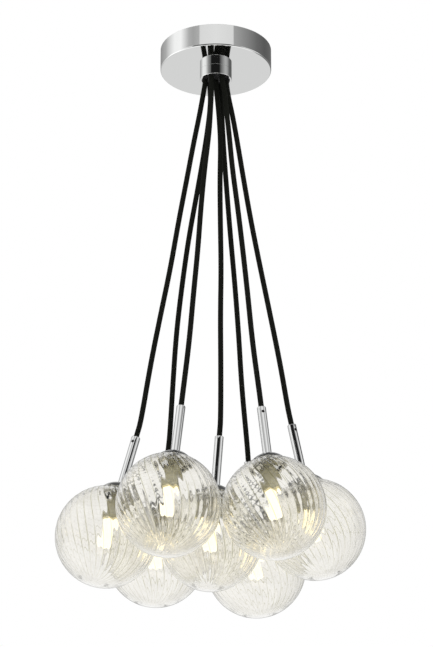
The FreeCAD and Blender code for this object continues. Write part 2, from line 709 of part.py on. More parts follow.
def shown(vector):
    """A vector's numbers, rounded for print."""
    return tuple(round(value, 6) for value in vector)


def report_pendant(name, place, pivot, bearing):
    """Prints the joint places of a pendant."""
    axis = place.Rotation.multVec(Vector(0, 0, 1))
    around = math.radians(bearing)
    swing = Vector(math.sin(around), -math.cos(around), 0)
    print(f"PENDANT {name} globe {shown(place.Base)} axis {shown(axis)}"
          f" pivot {shown(pivot)} swing {shown(swing)}")


nodes = [
    canopy(), ceiling_bracket(), collar(), collar_nut(), cord_spacer(), terminal_block(),
    cord_grips(), cord_tails(), canopy_screws(),
]
models = {
    "stem": stem_model(), "cap": cap_model(), "lampholder": lampholder_model(),
    "globe_clip": clip_model(), "globe": globe_model(), "lamp": lamp_model(),
}
doc.recompute()

hangs = []
ring = number("Sizes.globe_diameter + Sizes.cluster_gap")
for index, (name, (aside, drop, lean, lean_aside, turn)) in enumerate(PENDANTS.items()):
    bearing = number("Sizes.cluster_turn") + STEP * index + aside
    hangs.append((name, index, hanging_place(bearing, ring, drop, lean, bearing + lean_aside, turn)))
hangs.append(("middle", OUTER_COUNT, hanging_place(0.0, 0.0, *MIDDLE)))

for name, index, place in hangs:
    for piece, model in models.items():
        nodes.append(placed(f"{piece}_{name}", model, place))
    axis = place.Rotation.multVec(Vector(0, 0, 1))
    pivot = exit_place(index, number(PIVOT))
    lead = place.Base + axis * number(f"{STEM_TOP} + Sizes.cord_lead")
    end = place.Base + axis * number(f"{HOLDER_SEAT} + Sizes.hole_clearance")
    bends = [Vector(x, y, height) for (x, y), height in zip(CORD_BENDS[name], BEND_HEIGHTS)]
    route = [pivot, *bends, lead, end]
    nodes.append(cord_tube(f"cord_{name}", route))
    report_pendant(name, place, pivot, number("Sizes.cluster_turn") + STEP * index)
doc.recompute()

for item in doc.Objects:
    if "Invalid" in item.State or "Error" in item.State:
        raise RuntimeError(f"{item.Label} failed: {item.State}")
for node in nodes:
    if node.Shape.isNull() or not node.Shape.isValid():
        raise RuntimeError(f"{node.Label} has no valid shape")

os.makedirs("parts", exist_ok=True)
for node in nodes:
    solids = node.Shape.Solids
    shape = solids[0] if len(solids) == 1 else Part.makeCompound(solids)
    shape.exportStep(f"parts/{node.Label}.step")
print(f"{len(nodes)} parts written")
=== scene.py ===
# %% [markdown]
# # A cluster pendant, dressed in Blender
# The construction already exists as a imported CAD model: a canopy on the ceiling, a collar under it, and seven pendants
# on cords. This lesson gives that model its looks, one piece at a time. Everything is in metres, in the model's own
# frame: the origin is on the ceiling, +Z points up, and the viewer stands on the -Y side.

import json
import math

import bpy
import numpy as np
from mathutils import Matrix, Vector


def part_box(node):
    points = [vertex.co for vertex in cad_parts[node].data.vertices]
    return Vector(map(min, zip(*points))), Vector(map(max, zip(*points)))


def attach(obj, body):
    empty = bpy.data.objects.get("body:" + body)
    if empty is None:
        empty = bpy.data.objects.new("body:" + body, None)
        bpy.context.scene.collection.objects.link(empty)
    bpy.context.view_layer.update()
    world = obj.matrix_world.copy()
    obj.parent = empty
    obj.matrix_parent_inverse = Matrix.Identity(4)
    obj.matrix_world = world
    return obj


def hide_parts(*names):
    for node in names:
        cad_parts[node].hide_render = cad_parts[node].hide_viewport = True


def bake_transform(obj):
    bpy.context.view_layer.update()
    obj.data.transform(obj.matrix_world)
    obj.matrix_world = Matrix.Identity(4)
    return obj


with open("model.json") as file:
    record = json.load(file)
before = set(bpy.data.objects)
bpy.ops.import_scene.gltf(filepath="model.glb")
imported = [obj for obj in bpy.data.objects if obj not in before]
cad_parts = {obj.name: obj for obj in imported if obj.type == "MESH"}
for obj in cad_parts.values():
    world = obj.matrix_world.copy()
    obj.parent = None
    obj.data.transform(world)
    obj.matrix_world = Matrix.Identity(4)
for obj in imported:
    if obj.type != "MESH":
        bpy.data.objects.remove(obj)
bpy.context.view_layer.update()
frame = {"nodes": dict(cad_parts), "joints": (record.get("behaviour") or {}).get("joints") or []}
MM = 0.001
print("nodes in the frame:", len(frame["nodes"]))

# %% [markdown]
# ## Where the pendants hang
# Each pendant has its own lean, so its pieces are modelled once, upright round the origin, and then copied into place.
# The place could be typed in, but the model knows it already: a ball fitted to the skin of each globe gives the middle,
# and the joint that pulls the globe off gives the direction of the stem. How far a pendant is turned about its stem
# shows only in its small screw, so that angle is written here as it is in the model.

# %% Read the places from the model
PENDANT_TURNS = {
    "right": 40, "back_right": 150, "back_left": 205, "left": -24, "front_left": 170, "front_right": 14, "middle": 190,
}
NAMES = list(PENDANT_TURNS)
GLOBE_RADIUS = 60 * MM
GLOBE_WALL = 3 * MM
JOINTS = {joint["name"]: joint for joint in frame["joints"]}


def globe_centre(name):
    """The middle of the ball that fits the points of a globe's outer skin."""
    points = np.array([vertex.co for vertex in frame["nodes"][f"globe_{name}"].data.vertices])
    rough = (points.min(0) + points.max(0)) / 2
    skin = points[np.linalg.norm(points - rough, axis=1) > GLOBE_RADIUS - GLOBE_WALL / 2]
    table = np.c_[2 * skin, np.ones(len(skin))]
    return Vector(np.linalg.lstsq(table, (skin ** 2).sum(1), rcond=None)[0][:3])


def pendant_place(name):
    """The matrix that takes an upright pendant at the origin to where it hangs."""
    up = -Vector(JOINTS[f"{name}_globe_pull"]["axis"])
    lean = Vector((0, 0, 1)).rotation_difference(up).to_matrix().to_4x4()
    turn = Matrix.Rotation(math.radians(PENDANT_TURNS[name]), 4, "Z")
    return Matrix.Translation(globe_centre(name)) @ lean @ turn


PLACES = {name: pendant_place(name) for name in NAMES}
for name, place in PLACES.items():
    print(name, "globe at", [round(value / MM, 1) for value in place.translation], "mm")

# %% [markdown]
# ## The camera
# The light is seen from below and far away: a long lens on a camera that stands three metres off and tilts up. The
# values come from fitting the outlines of the globes and the rim of the canopy.

# %% Set up the camera
CAMERA_PLACE = (0.8 * MM, -3.0959, -1.6660)
CAMERA_TILT = 22.70
CAMERA_LENS = 155.2

bpy.ops.object.camera_add(location=CAMERA_PLACE, rotation=(math.radians(90 + CAMERA_TILT), 0, 0))
camera = bpy.context.object
camera.data.lens = CAMERA_LENS
bpy.context.scene.camera = camera
print("camera at", CAMERA_PLACE, "with a lens of", CAMERA_LENS, "mm")

# %% [markdown]
# ## Small helpers for node trees
# A material is a tree of nodes. Two helpers keep the trees short to write: one adds a node with its settings, and one
# does arithmetic with numbers or with the outputs of other nodes.


# %% Node helpers
def add_node(tree, kind, **settings):
    """A new node of a tree, with its settings."""
    node = tree.nodes.new(kind)
    for name, value in settings.items():
        setattr(node, name, value)
    return node


def plug(tree, socket, value):
    """Sets a socket to a number or colour, or links it to an output."""
    if isinstance(value, bpy.types.NodeSocket):
        tree.links.new(value, socket)
    else:
        socket.default_value = value


def calculate(tree, operation, *values):
    """The output of a Math node."""
    node = add_node(tree, "ShaderNodeMath", operation=operation)
    for socket, value in zip(node.inputs, values):
        plug(tree, socket, value)
    return node.outputs[0]


def spread(tree, value, low, high, to_low=0.0, to_high=1.0):
    """A value brought smoothly from one range to another."""
    node = add_node(tree, "ShaderNodeMapRange", interpolation_type="SMOOTHSTEP")
    for socket, number in zip(node.inputs, (value, low, high, to_low, to_high)):
        plug(tree, socket, number)
    return node.outputs[0]


def choose(tree, switch, off, on):
    """One of two values, by a switch between 0 and 1."""
    node = add_node(tree, "ShaderNodeMix", data_type="FLOAT")
    for socket, value in zip((node.inputs[0], node.inputs[2], node.inputs[3]), (switch, off, on)):
        plug(tree, socket, value)
    return node.outputs[0]


def ramp(tree, value, stops, interpolation="LINEAR"):
    """A colour ramp with stops of (place, colour)."""
    node = add_node(tree, "ShaderNodeValToRGB")
    node.color_ramp.interpolation = interpolation
    while len(node.color_ramp.elements) < len(stops):
        node.color_ramp.elements.new(0.5)
    for element, (place, colour) in zip(node.color_ramp.elements, stops):
        element.position = place
        element.color = (*colour, 1.0) if isinstance(colour, tuple) else (colour, colour, colour, 1.0)
    plug(tree, node.inputs[0], value)
    return node.outputs[0]


# %% [markdown]
# ## The studio
# Chrome and clear glass have hardly any colour of their own: they show the room. So the room is designed first. The
# camera sees plain white. Polished metal sees rings of softboxes between darker walls, one ring above the other. A
# surface reflects only one height of the room: the canopy's side shows one ring, the stems another, and the caps the
# dark ceiling, so each can get its own bright and dark bands. The collar mirrors the canopy's underside, so it shows a
# ring below the horizon, seen twice. Glass sees a white room with soft flags, which draw the thin dark lines along its
# ribs, and darker walls on both sides, which draw its rim. Everything matt gets even white light.

# %% Build the world
# Rings of softboxes for metal, from the floor up: the sines of the heights between which a ring is whole, and its boxes
# as bearing from the viewer's side in degrees, to the right, and brightness.
RINGS = [
    (-1.00, -0.79, [(-180, 1.40), (180, 1.40)]),
    (-0.74, -0.05, [
        (-180, 0.95), (-166, 0.95), (-150, 0.60), (-126, 1.10), (-105, 1.80), (-80, 1.70), (-56, 0.60), (-38, 0.25),
        (-33, 0.02), (26, 0.02), (34, 0.20), (72, 0.88), (88, 0.78), (112, 0.25), (150, 0.20), (166, 0.95),
        (180, 0.95)]),
    (0.00, 0.438, [
        (-180, 0.45), (-114, 0.60), (-105, 1.30), (-49, 1.30), (-45, 0.02), (28, 0.02), (33, 0.45), (50, 0.55),
        (56, 1.10), (94, 1.10), (105, 0.30), (150, 0.30), (180, 0.45)]),
    (0.457, 0.5075, [
        (-180, 0.20), (-128, 0.58), (-110, 1.00), (-96, 1.30), (-78, 1.34), (-58, 0.62), (-48, 0.53), (-34.5, 0.62),
        (-33.5, 1.02), (0, 1.08), (36.5, 1.00), (37.5, 0.52), (60, 0.38), (95, 0.20), (122, 0.14), (180, 0.19)]),
    (0.537, 0.743, [
        (-180, 0.45), (-112, 0.60), (-105, 1.25), (-50, 1.30), (-46, 0.65), (-12, 0.65), (-8, 1.15), (32, 1.15),
        (36, 0.60), (66, 0.60), (70, 1.00), (100, 1.00), (108, 0.25), (150, 0.25), (180, 0.45)]),
    (0.819, 1.00, [(-180, 0.12), (180, 0.12)]),
]
BRIGHTEST = 2.0
BACKDROP = 0.92
FLAG_COUNT = 8
FLAG_SHADE, FLAG_EDGES = 0.58, (-0.95, -0.45)
CEILING_SHADE, CEILING_EDGES = 0.80, (0.60, 0.95)
SIDE_SHADE, SIDE_EDGES = 0.48, (0.62, 0.95)

world = bpy.data.worlds.new("studio")
bpy.context.scene.world = world
world.use_nodes = True
tree = world.node_tree
background = tree.nodes["Background"]
direction = add_node(tree, "ShaderNodeSeparateXYZ")
plug(tree, direction.inputs[0], add_node(tree, "ShaderNodeTexCoord").outputs["Generated"])
across, away, height = direction.outputs
bearing = calculate(tree, "ARCTAN2", across, calculate(tree, "MULTIPLY", away, -1.0))
share = calculate(tree, "MULTIPLY_ADD", bearing, 0.5 / math.pi, 0.5)


def softbox_ring(boxes):
    """The brightness all round a ring of softboxes."""
    stops = [(angle / 360 + 0.5, shade / BRIGHTEST) for angle, shade in boxes]
    return calculate(tree, "MULTIPLY", ramp(tree, share, stops), BRIGHTEST)


for_metal = softbox_ring(RINGS[0][2])
for (_, end, _), (start, _, boxes) in zip(RINGS, RINGS[1:]):
    for_metal = choose(tree, spread(tree, height, end, start), for_metal, softbox_ring(boxes))
flags = calculate(tree, "COSINE", calculate(tree, "MULTIPLY", bearing, float(FLAG_COUNT)))
striped = spread(tree, flags, *FLAG_EDGES, FLAG_SHADE, BACKDROP)
overhead = spread(tree, height, *CEILING_EDGES, 1.0, CEILING_SHADE)
sides = spread(tree, calculate(tree, "ABSOLUTE", across), *SIDE_EDGES, 1.0, SIDE_SHADE)
for_glass = calculate(tree, "MULTIPLY", calculate(tree, "MULTIPLY", striped, overhead), sides)
path = add_node(tree, "ShaderNodeLightPath").outputs
seen = choose(tree, path["Is Glossy Ray"], 1.0, for_metal)
seen = choose(tree, path["Is Transmission Ray"], seen, for_glass)
seen = choose(tree, path["Is Camera Ray"], seen, 1.0)
plug(tree, background.inputs["Color"], seen)
print("studio with", len(RINGS), "rings of softboxes")

# %% [markdown]
# ## The floor
# The light hangs under a ceiling, so its floor is far below and out of the picture. It is pale and matt and throws
# light back up. Polished metal looks past it to the lower softboxes. From underneath the floor is clear, so that a view
# from far below, which suits a light on a ceiling, still shows it.

# %% Add the floor
FLOOR_HEIGHT = -2.4
FLOOR_SIZE = 40.0
FLOOR_SHADE = 0.92
FLOOR_ROUGHNESS = 0.9

bpy.ops.object.select_all(action="DESELECT")
bpy.ops.mesh.primitive_plane_add(size=FLOOR_SIZE, location=(0, 0, FLOOR_HEIGHT))
floor = bpy.context.object
floor.name = "floor"
paint = bpy.data.materials.new("pale_floor")
paint.use_nodes = True
tree = paint.node_tree
shader = tree.nodes["Principled BSDF"]
shader.inputs["Base Color"].default_value = (FLOOR_SHADE, FLOOR_SHADE, FLOOR_SHADE, 1)
shader.inputs["Roughness"].default_value = FLOOR_ROUGHNESS
one_way = add_node(tree, "ShaderNodeMixShader")
plug(tree, one_way.inputs[0], add_node(tree, "ShaderNodeNewGeometry").outputs["Backfacing"])
plug(tree, one_way.inputs[1], shader.outputs[0])
plug(tree, one_way.inputs[2], add_node(tree, "ShaderNodeBsdfTransparent").outputs[0])
plug(tree, tree.nodes["Material Output"].inputs["Surface"], one_way.outputs[0])
floor.data.materials.append(paint)
floor.visible_glossy = False
print("floor at", FLOOR_HEIGHT, "m")

# %% [markdown]
# ## How far light is followed
# The globes hang in front of each other, and a ray that passes through one crosses four skins of glass, so light has
# to be followed much further than usual, or the glass turns dark inside. The view adds no look of its own to the
# colours.

# %% Let light pass all the globes
LIGHT_BOUNCES = 40

scene = bpy.context.scene
scene.view_settings.view_transform = "Standard"
for kind in ("max", "transmission", "glossy", "transparent_max"):
    setattr(scene.cycles, f"{kind}_bounces", LIGHT_BOUNCES)
print("light is followed for", LIGHT_BOUNCES, "bounces")

# %% [markdown]
# ## Effects that several finishes share
# No real surface is the same all over. One group makes the faint smears that change how sharp a polished surface
# reflects, and one makes the fine grain of moulded and cast pieces. Each material places the group with its own values.


# %% Make the shared groups
def new_group(name, inputs, outputs):
    """An empty shader group with named number inputs and outputs."""
    group = bpy.data.node_groups.new(name, "ShaderNodeTree")
    for label, value in inputs.items():
        group.interface.new_socket(label, in_out="INPUT", socket_type="NodeSocketFloat").default_value = value
    for label in outputs:
        group.interface.new_socket(label, in_out="OUTPUT", socket_type="NodeSocketFloat")
    return group, group.nodes.new("NodeGroupInput").outputs, group.nodes.new("NodeGroupOutput").inputs


SMEAR_EDGES = (0.35, 0.70)
smears, given, result = new_group("smears", {"Scale": 60.0, "Low": 0.02, "High": 0.06}, ["Roughness"])
spot = add_node(smears, "ShaderNodeTexCoord").outputs["Object"]
cloud = add_node(smears, "ShaderNodeTexNoise")
plug(smears, cloud.inputs["Vector"], spot)
plug(smears, cloud.inputs["Scale"], given["Scale"])
cloud.inputs["Detail"].default_value = 5.0
plug(smears, result["Roughness"], spread(smears, cloud.outputs[0], *SMEAR_EDGES, given["Low"], given["High"]))

grain, given, result = new_group("grain", {"Scale": 900.0}, ["Height", "Mottle"])
spot = add_node(grain, "ShaderNodeTexCoord").outputs["Object"]
for label, detail, share in (("Height", 3.0, 1.0), ("Mottle", 2.0, 0.12)):
    cloud = add_node(grain, "ShaderNodeTexNoise")
    plug(grain, cloud.inputs["Vector"], spot)
    plug(grain, cloud.inputs["Scale"], calculate(grain, "MULTIPLY", given["Scale"], share))
    cloud.inputs["Detail"].default_value = detail
    plug(grain, result[label], cloud.outputs[0])


def place_group(tree, group, **values):
    """A group in a material, with its own values. Its outputs are returned."""
    node = add_node(tree, "ShaderNodeGroup", node_tree=group)
    for label, value in values.items():
        plug(tree, node.inputs[label], value)
    return node.outputs


print("shared groups:", smears.name, grain.name)


# %% Helpers for finishes
def new_finish(name, colour, **sockets):
    """A material with one Principled shader, whose plain values are set on its own sockets."""
    material = bpy.data.materials.new(name)
    material.use_nodes = True
    shader = material.node_tree.nodes["Principled BSDF"]
    shader.inputs["Base Color"].default_value = (*colour, 1)
    for label, value in sockets.items():
        shader.inputs[label.replace("_", " ")].default_value = value
    return material, material.node_tree, shader


def add_bump(tree, shader, height, strength, distance):
    """Raises the surface by a height, as light sees it."""
    bump = add_node(tree, "ShaderNodeBump")
    bump.inputs["Strength"].default_value = strength
    bump.inputs["Distance"].default_value = distance
    plug(tree, bump.inputs["Height"], height)
    plug(tree, shader.inputs["Normal"], bump.outputs[0])


def mottled(tree, shader, mask, dark, light):
    """A colour that drifts between two shades."""
    plug(tree, shader.inputs["Base Color"], ramp(tree, mask, [(0.3, dark), (0.7, light)]))


# %% [markdown]
# ## The finishes
# Chromium reflects only about two thirds of the light, which is why chrome looks greyer than silver. The inner hardware
# is zinc plate and plain plastic, and the stems' tiny screws are blackened steel, so they show as dark dots. The cords,
# lampholders, lamps and globes get their finish where they are made.

# %% Metals and plastics
chrome, tree, shader = new_finish("chrome", (0.66, 0.665, 0.66), Metallic=1.0)
plug(tree, shader.inputs["Roughness"], place_group(tree, smears, Scale=55.0, Low=0.015, High=0.05)[0])

zinc, tree, shader = new_finish("zinc_plate", (0.52, 0.53, 0.54), Metallic=1.0)
plug(tree, shader.inputs["Roughness"], place_group(tree, smears, Scale=220.0, Low=0.28, High=0.45)[0])
mottled(tree, shader, place_group(tree, grain, Scale=700.0)["Mottle"], (0.44, 0.45, 0.45), (0.60, 0.60, 0.62))

spring_steel, tree, shader = new_finish("spring_steel", (0.66, 0.64, 0.56), Metallic=1.0)
plug(tree, shader.inputs["Roughness"], place_group(tree, smears, Scale=300.0, Low=0.18, High=0.32)[0])

black_steel, tree, shader = new_finish("blackened_steel", (0.012, 0.010, 0.008), Specular_IOR_Level=0.25)
plug(tree, shader.inputs["Roughness"], place_group(tree, smears, Scale=400.0, Low=0.45, High=0.65)[0])

black_plastic, tree, shader = new_finish("black_plastic", (0.02, 0.02, 0.02), Roughness=0.5)
parts = place_group(tree, grain, Scale=1400.0)
mottled(tree, shader, parts["Mottle"], (0.014, 0.014, 0.014), (0.026, 0.026, 0.026))
add_bump(tree, shader, parts["Height"], strength=0.3, distance=0.1 * MM)

white_plastic, tree, shader = new_finish("white_plastic", (0.8, 0.8, 0.78), Roughness=0.45)
parts = place_group(tree, grain, Scale=1400.0)
mottled(tree, shader, parts["Mottle"], (0.76, 0.76, 0.73), (0.84, 0.84, 0.82))
add_bump(tree, shader, parts["Height"], strength=0.2, distance=0.1 * MM)

print("finishes so far:", [material.name for material in bpy.data.materials])

# %% [markdown]
# ## Working as by hand
# Most of this light was made on a lathe or a press, so most pieces are an outline spun about an axis. The outline is
# traced as one would trace it in edit mode: a single point, extruded from corner to corner, then spun. Corners are
# written as (radius, height), and a rounded corner is a short run of points on an arc.


# %% Modelling helpers
SLIVER = 0.001 * MM
SMOOTH_ANGLE = 30
WIDE_SMOOTH_ANGLE = 40
DRILL_SIDES = 32


def arc(centre, radius, start, end, steps):
    """Points on an arc round a centre, with its angles in degrees."""
    points = []
    for step in range(steps + 1):
        angle = math.radians(start + (end - start) * step / steps)
        points.append((centre[0] + radius * math.cos(angle), centre[1] + radius * math.sin(angle)))
    return points


def finish_mesh(piece, smooth_angle):
    """Merges doubles, turns the faces outwards and smooths the shading up to an angle."""
    bpy.ops.object.mode_set(mode="EDIT")
    bpy.ops.mesh.select_all(action="SELECT")
    bpy.ops.mesh.remove_doubles(threshold=SLIVER)
    bpy.ops.mesh.normals_make_consistent(inside=False)
    bpy.ops.object.mode_set(mode="OBJECT")
    bpy.ops.object.shade_smooth_by_angle(angle=math.radians(smooth_angle))
    return piece


def turned_piece(name, outline, steps=96, smooth_angle=SMOOTH_ANGLE):
    """An outline of (radius, height) corners, traced by extrusion and spun about the Z axis."""
    bpy.ops.object.select_all(action="DESELECT")
    bpy.ops.mesh.primitive_plane_add(size=MM)
    piece = bpy.context.object
    piece.name = name
    bpy.ops.object.mode_set(mode="EDIT")
    bpy.ops.mesh.select_all(action="SELECT")
    bpy.ops.mesh.merge(type="CENTER")
    bpy.ops.transform.translate(value=(outline[0][0], 0, outline[0][1]))
    for here, there in zip(outline, outline[1:]):
        move = (there[0] - here[0], 0, there[1] - here[1])
        bpy.ops.mesh.extrude_region_move(TRANSFORM_OT_translate={"value": move})
    bpy.ops.mesh.select_all(action="SELECT")
    bpy.ops.mesh.spin(steps=steps, angle=2 * math.pi, center=(0, 0, 0), axis=(0, 0, 1))
    bpy.ops.object.mode_set(mode="OBJECT")
    return finish_mesh(piece, smooth_angle)


def drilled(piece, radius, depth, place, direction):
    """Drills a round hole into a piece with a Boolean modifier, and clears the slivers that it leaves."""
    turn = Vector((0, 0, 1)).rotation_difference(Vector(direction)).to_euler()
    bpy.ops.object.select_all(action="DESELECT")
    bpy.ops.mesh.primitive_cylinder_add(vertices=DRILL_SIDES, radius=radius, depth=2 * depth, location=place,
                                        rotation=turn)
    drill = bpy.context.object
    bpy.context.view_layer.objects.active = piece
    modifier = piece.modifiers.new("hole", "BOOLEAN")
    modifier.object = drill
    modifier.operation = "DIFFERENCE"
    bpy.ops.object.modifier_apply(modifier=modifier.name)
    bpy.data.objects.remove(drill)
    bpy.ops.object.select_all(action="DESELECT")
    piece.select_set(True)
    bpy.ops.object.mode_set(mode="EDIT")
    bpy.ops.mesh.select_all(action="SELECT")
    bpy.ops.mesh.dissolve_degenerate(threshold=SLIVER)
    bpy.ops.object.mode_set(mode="OBJECT")
    bpy.ops.object.shade_smooth_by_angle(angle=math.radians(SMOOTH_ANGLE))
    return piece


def apply_place(piece, place):
    """Puts a piece's place into its mesh, so that the object itself stays at the origin."""
    piece.data.transform(place)
    piece.matrix_world = Matrix.Identity(4)
    return piece


def dressed(piece, material, slot, body, *nodes):
    """Gives a piece its finish and the body that it rides on; its slot, what it stands for, is not used."""
    piece.data.materials.clear()
    piece.data.materials.append(material)
    if nodes:
        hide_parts(*nodes)
    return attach(piece, body)


def copy_to_pendants(model, label, material, slot, body_of, node_of=None):
    """Copies a piece that was modelled upright at the origin to all seven pendants, each with its own mesh."""
    for name in NAMES:
        piece = model.copy()
        piece.data = model.data.copy()
        piece.name = f"{label}_{name}"
        bpy.context.scene.collection.objects.link(piece)
        apply_place(piece, PLACES[name])
        nodes = [node_of.format(name)] if node_of else []
        dressed(piece, material, slot, body_of.format(name), *nodes)
    print(label, len(model.data.polygons), "faces each")
    bpy.data.objects.remove(model)


# %% [markdown]
# ## The cords
# Seven black braided cords leave the collar almost straight down and then fan out to their stems. A pendant's weight
# keeps its cord nearly straight, with a slow bend below the collar. Each route is a smooth spline with a few control
# points; a tube is then laid round the points of that spline, so that the braid can follow it. At the collar's mouth a
# real cord bends when its pendant swings; here the middle cord rides with the ceiling rose, and the others stay where
# they are laid.

# %% Route the cords
CORD_RADIUS = 3.2 * MM
CORD_SIDES = 20
CORD_LEAD = 22 * MM
CORD_MOUTH = 4 * MM
CORD_RISE = 3.2 * MM
SPLINE_STEPS = 16
STEM_TOP = 130.4 * MM
HOLDER_SEAT = 55.6 * MM
BEND_HEIGHTS = (-64, -92, -130, -178, -236, -298, -360, -424)
CORD_BENDS = {
    "right": [(15.5, 1), (21, 1), (27, 1), (34, 0.5), (43, 0.5), (54, 0), (65.5, 0), (77, -0.5)],
    "back_right": [
        (6.5, 14), (8, 18.5), (10, 25), (13.5, 33.5), (18, 42.5), (23.5, 52.5), (28, 63), (31.5, 73.5)],
    "back_left": [
        (-6.5, 13), (-9, 17.5), (-14.5, 23.5), (-22.5, 31), (-33, 40.5), (-41.5, 50), (-48.5, 60), (-52.5, 70.5)],
    "left": [
        (-16, -1), (-20.5, -1), (-27.5, -1.5), (-35.5, -1), (-45.5, -0.5), (-55, -0.5), (-66.5, -1), (-78, -0.5)],
    "front_left": [
        (-5.5, -14), (-6.5, -19), (-8.5, -25), (-13.5, -33.5), (-18, -43), (-21.5, -53.5), (-26.5, -64), (-31, -75)],
    "front_right": [
        (11, -12.5), (13, -17), (16.5, -23), (20, -30.5), (26.5, -39.5), (32.5, -49), (38, -58.5), (43, -68.5)],
    "middle": [(1.5, 0), (4, 0.5), (6, 0.5), (5, 1), (5.5, 1.5), (6.5, 2), (5.5, 2.5), (6, 2.5)],
}
PIVOT_HEIGHT = JOINTS["right_swing"]["pos_m"][2]


def cord_route(name):
    """The points of a cord's route, from inside the collar to its end in the lampholder's neck."""
    pivot = Vector((0, 0, PIVOT_HEIGHT))
    if name != "middle":
        pivot = Vector(JOINTS[f"{name}_swing"]["pos_m"])
    bends = [Vector((*bend, height)) * MM for bend, height in zip(CORD_BENDS[name], BEND_HEIGHTS)]
    heights = (STEM_TOP + CORD_LEAD, STEM_TOP + CORD_MOUTH, HOLDER_SEAT)
    in_stem = [PLACES[name] @ Vector((0, 0, height)) for height in heights]
    return [pivot + Vector((0, 0, CORD_RISE)), pivot, *bends, *in_stem]


def spline_points(name, route):
    """Points along the smooth spline of a route, read from a curve with no thickness."""
    curve = bpy.data.curves.new(f"route_{name}", "CURVE")
    curve.dimensions = "3D"
    curve.resolution_u = SPLINE_STEPS
    spline = curve.splines.new("NURBS")
    spline.points.add(len(route) - 1)
    for point, place in zip(spline.points, route):
        point.co = (*place, 1)
    spline.order_u = 3
    spline.use_endpoint_u = True
    line = bpy.data.objects.new(f"route_{name}", curve)
    bpy.context.scene.collection.objects.link(line)
    bpy.context.view_layer.update()
    mesh = bpy.data.meshes.new_from_object(line.evaluated_get(bpy.context.evaluated_depsgraph_get()))
    points = [vertex.co.copy() for vertex in mesh.vertices]
    bpy.data.objects.remove(line)
    bpy.data.meshes.remove(mesh)
    return points


def tube_mesh(name, points, radius, sides):
    """A tube round a line of points, with closed ends and a UV map: metres along it, and turns round it."""
    rings = []
    aside = Vector((1, 0, 0))
    for index, point in enumerate(points):
        before = points[max(index - 1, 0)]
        after = points[min(index + 1, len(points) - 1)]
        along = (after - before).normalized()
        aside = (aside - along * aside.dot(along)).normalized()
        other = along.cross(aside)
        for side in range(sides):
            angle = 2 * math.pi * side / sides
            rings.append(point + radius * (math.cos(angle) * aside + math.sin(angle) * other))
    faces = []
    for ring in range(len(points) - 1):
        for side in range(sides):
            following = (side + 1) % sides
            low, high = ring * sides, (ring + 1) * sides
            faces.append((low + side, low + following, high + following, high + side))
    last = (len(points) - 1) * sides
    faces.append(tuple(reversed(range(sides))))
    faces.append(tuple(range(last, last + sides)))
    mesh = bpy.data.meshes.new(name)
    mesh.from_pydata(rings, [], faces)
    reach = [0.0]
    for here, there in zip(points, points[1:]):
        reach.append(reach[-1] + (there - here).length)
    layer = mesh.uv_layers.new(name="UVMap")
    for face in mesh.polygons:
        seam = face.index % sides == sides - 1
        for corner in face.loop_indices:
            ring, side = divmod(mesh.loops[corner].vertex_index, sides)
            turn = 1.0 if seam and side == 0 else side / sides
            layer.data[corner].uv = (reach[ring], turn)
    return mesh, reach[-1]


print("the cords bend at", round(PIVOT_HEIGHT / MM, 1), "mm")


# %% [markdown]
# ## The braid
# Close up, the cord's sleeve is a braid: two sets of yarns that wind round the cord in opposite directions and pass
# over and under each other. Two slanted waves on the tube's UV map, and the higher of them at each spot, give that
# relief. The colour follows the relief as well: the hollows between the yarns are painted darker, as painted shade.

# %% Make the braid and the cords
BRAID_PITCH = 2.4 * MM
BRAID_YARNS = 8.0
# From the braid's hollows to the tops of its yarns: the darker hollows are painted shade.
BRAID_PAINTED_SHADE_STOPS = [(0.0, (0.002, 0.002, 0.0015)), (1.0, (0.011, 0.012, 0.009))]

braid = bpy.data.node_groups.new("braid", "ShaderNodeTree")
for label in ("Height", "Painted_Shade"):
    braid.interface.new_socket(label, in_out="OUTPUT", socket_type="NodeSocketFloat")
result = braid.nodes.new("NodeGroupOutput").inputs
place = add_node(braid, "ShaderNodeSeparateXYZ")
plug(braid, place.inputs[0], add_node(braid, "ShaderNodeUVMap", uv_map="UVMap").outputs[0])
forward = calculate(braid, "DIVIDE", place.outputs[0], BRAID_PITCH)
around = calculate(braid, "MULTIPLY", place.outputs[1], BRAID_YARNS)
waves = []
for sign in (1.0, -1.0):
    slant = calculate(braid, "MULTIPLY_ADD", around, sign, forward)
    wave = calculate(braid, "SINE", calculate(braid, "MULTIPLY", slant, 2 * math.pi))
    waves.append(calculate(braid, "ABSOLUTE", wave))
relief = calculate(braid, "MAXIMUM", *waves)
plug(braid, result["Height"], relief)
# The colour output is darker in the hollows of the relief: painted shade between the yarns.
plug(braid, result["Painted_Shade"], calculate(braid, "POWER", relief, 2.0))

cord_braid, tree, shader = new_finish("cord_braid", (0.008, 0.009, 0.007), Roughness=0.85, Specular_IOR_Level=0.08)
parts = place_group(tree, braid)
plug(tree, shader.inputs["Base Color"], ramp(tree, parts["Painted_Shade"], BRAID_PAINTED_SHADE_STOPS))
add_bump(tree, shader, parts["Height"], strength=0.4, distance=0.25 * MM)

for name in NAMES:
    route = cord_route(name)
    points = spline_points(name, route)
    mesh, length = tube_mesh(f"cord_sleeve_{name}", points, CORD_RADIUS, CORD_SIDES)
    cord = bpy.data.objects.new(f"cord_sleeve_{name}", mesh)
    bpy.context.scene.collection.objects.link(cord)
    bpy.ops.object.select_all(action="DESELECT")
    cord.select_set(True)
    bpy.context.view_layer.objects.active = cord
    bpy.ops.object.shade_smooth_by_angle(angle=math.radians(WIDE_SMOOTH_ANGLE))
    mesh.materials.append(cord_braid)
    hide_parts(f"cord_{name}")
    if name == "middle":
        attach(cord, "ceiling_rose")
    else:
        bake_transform(cord)
    print("cord", name, round(length / MM), "mm")

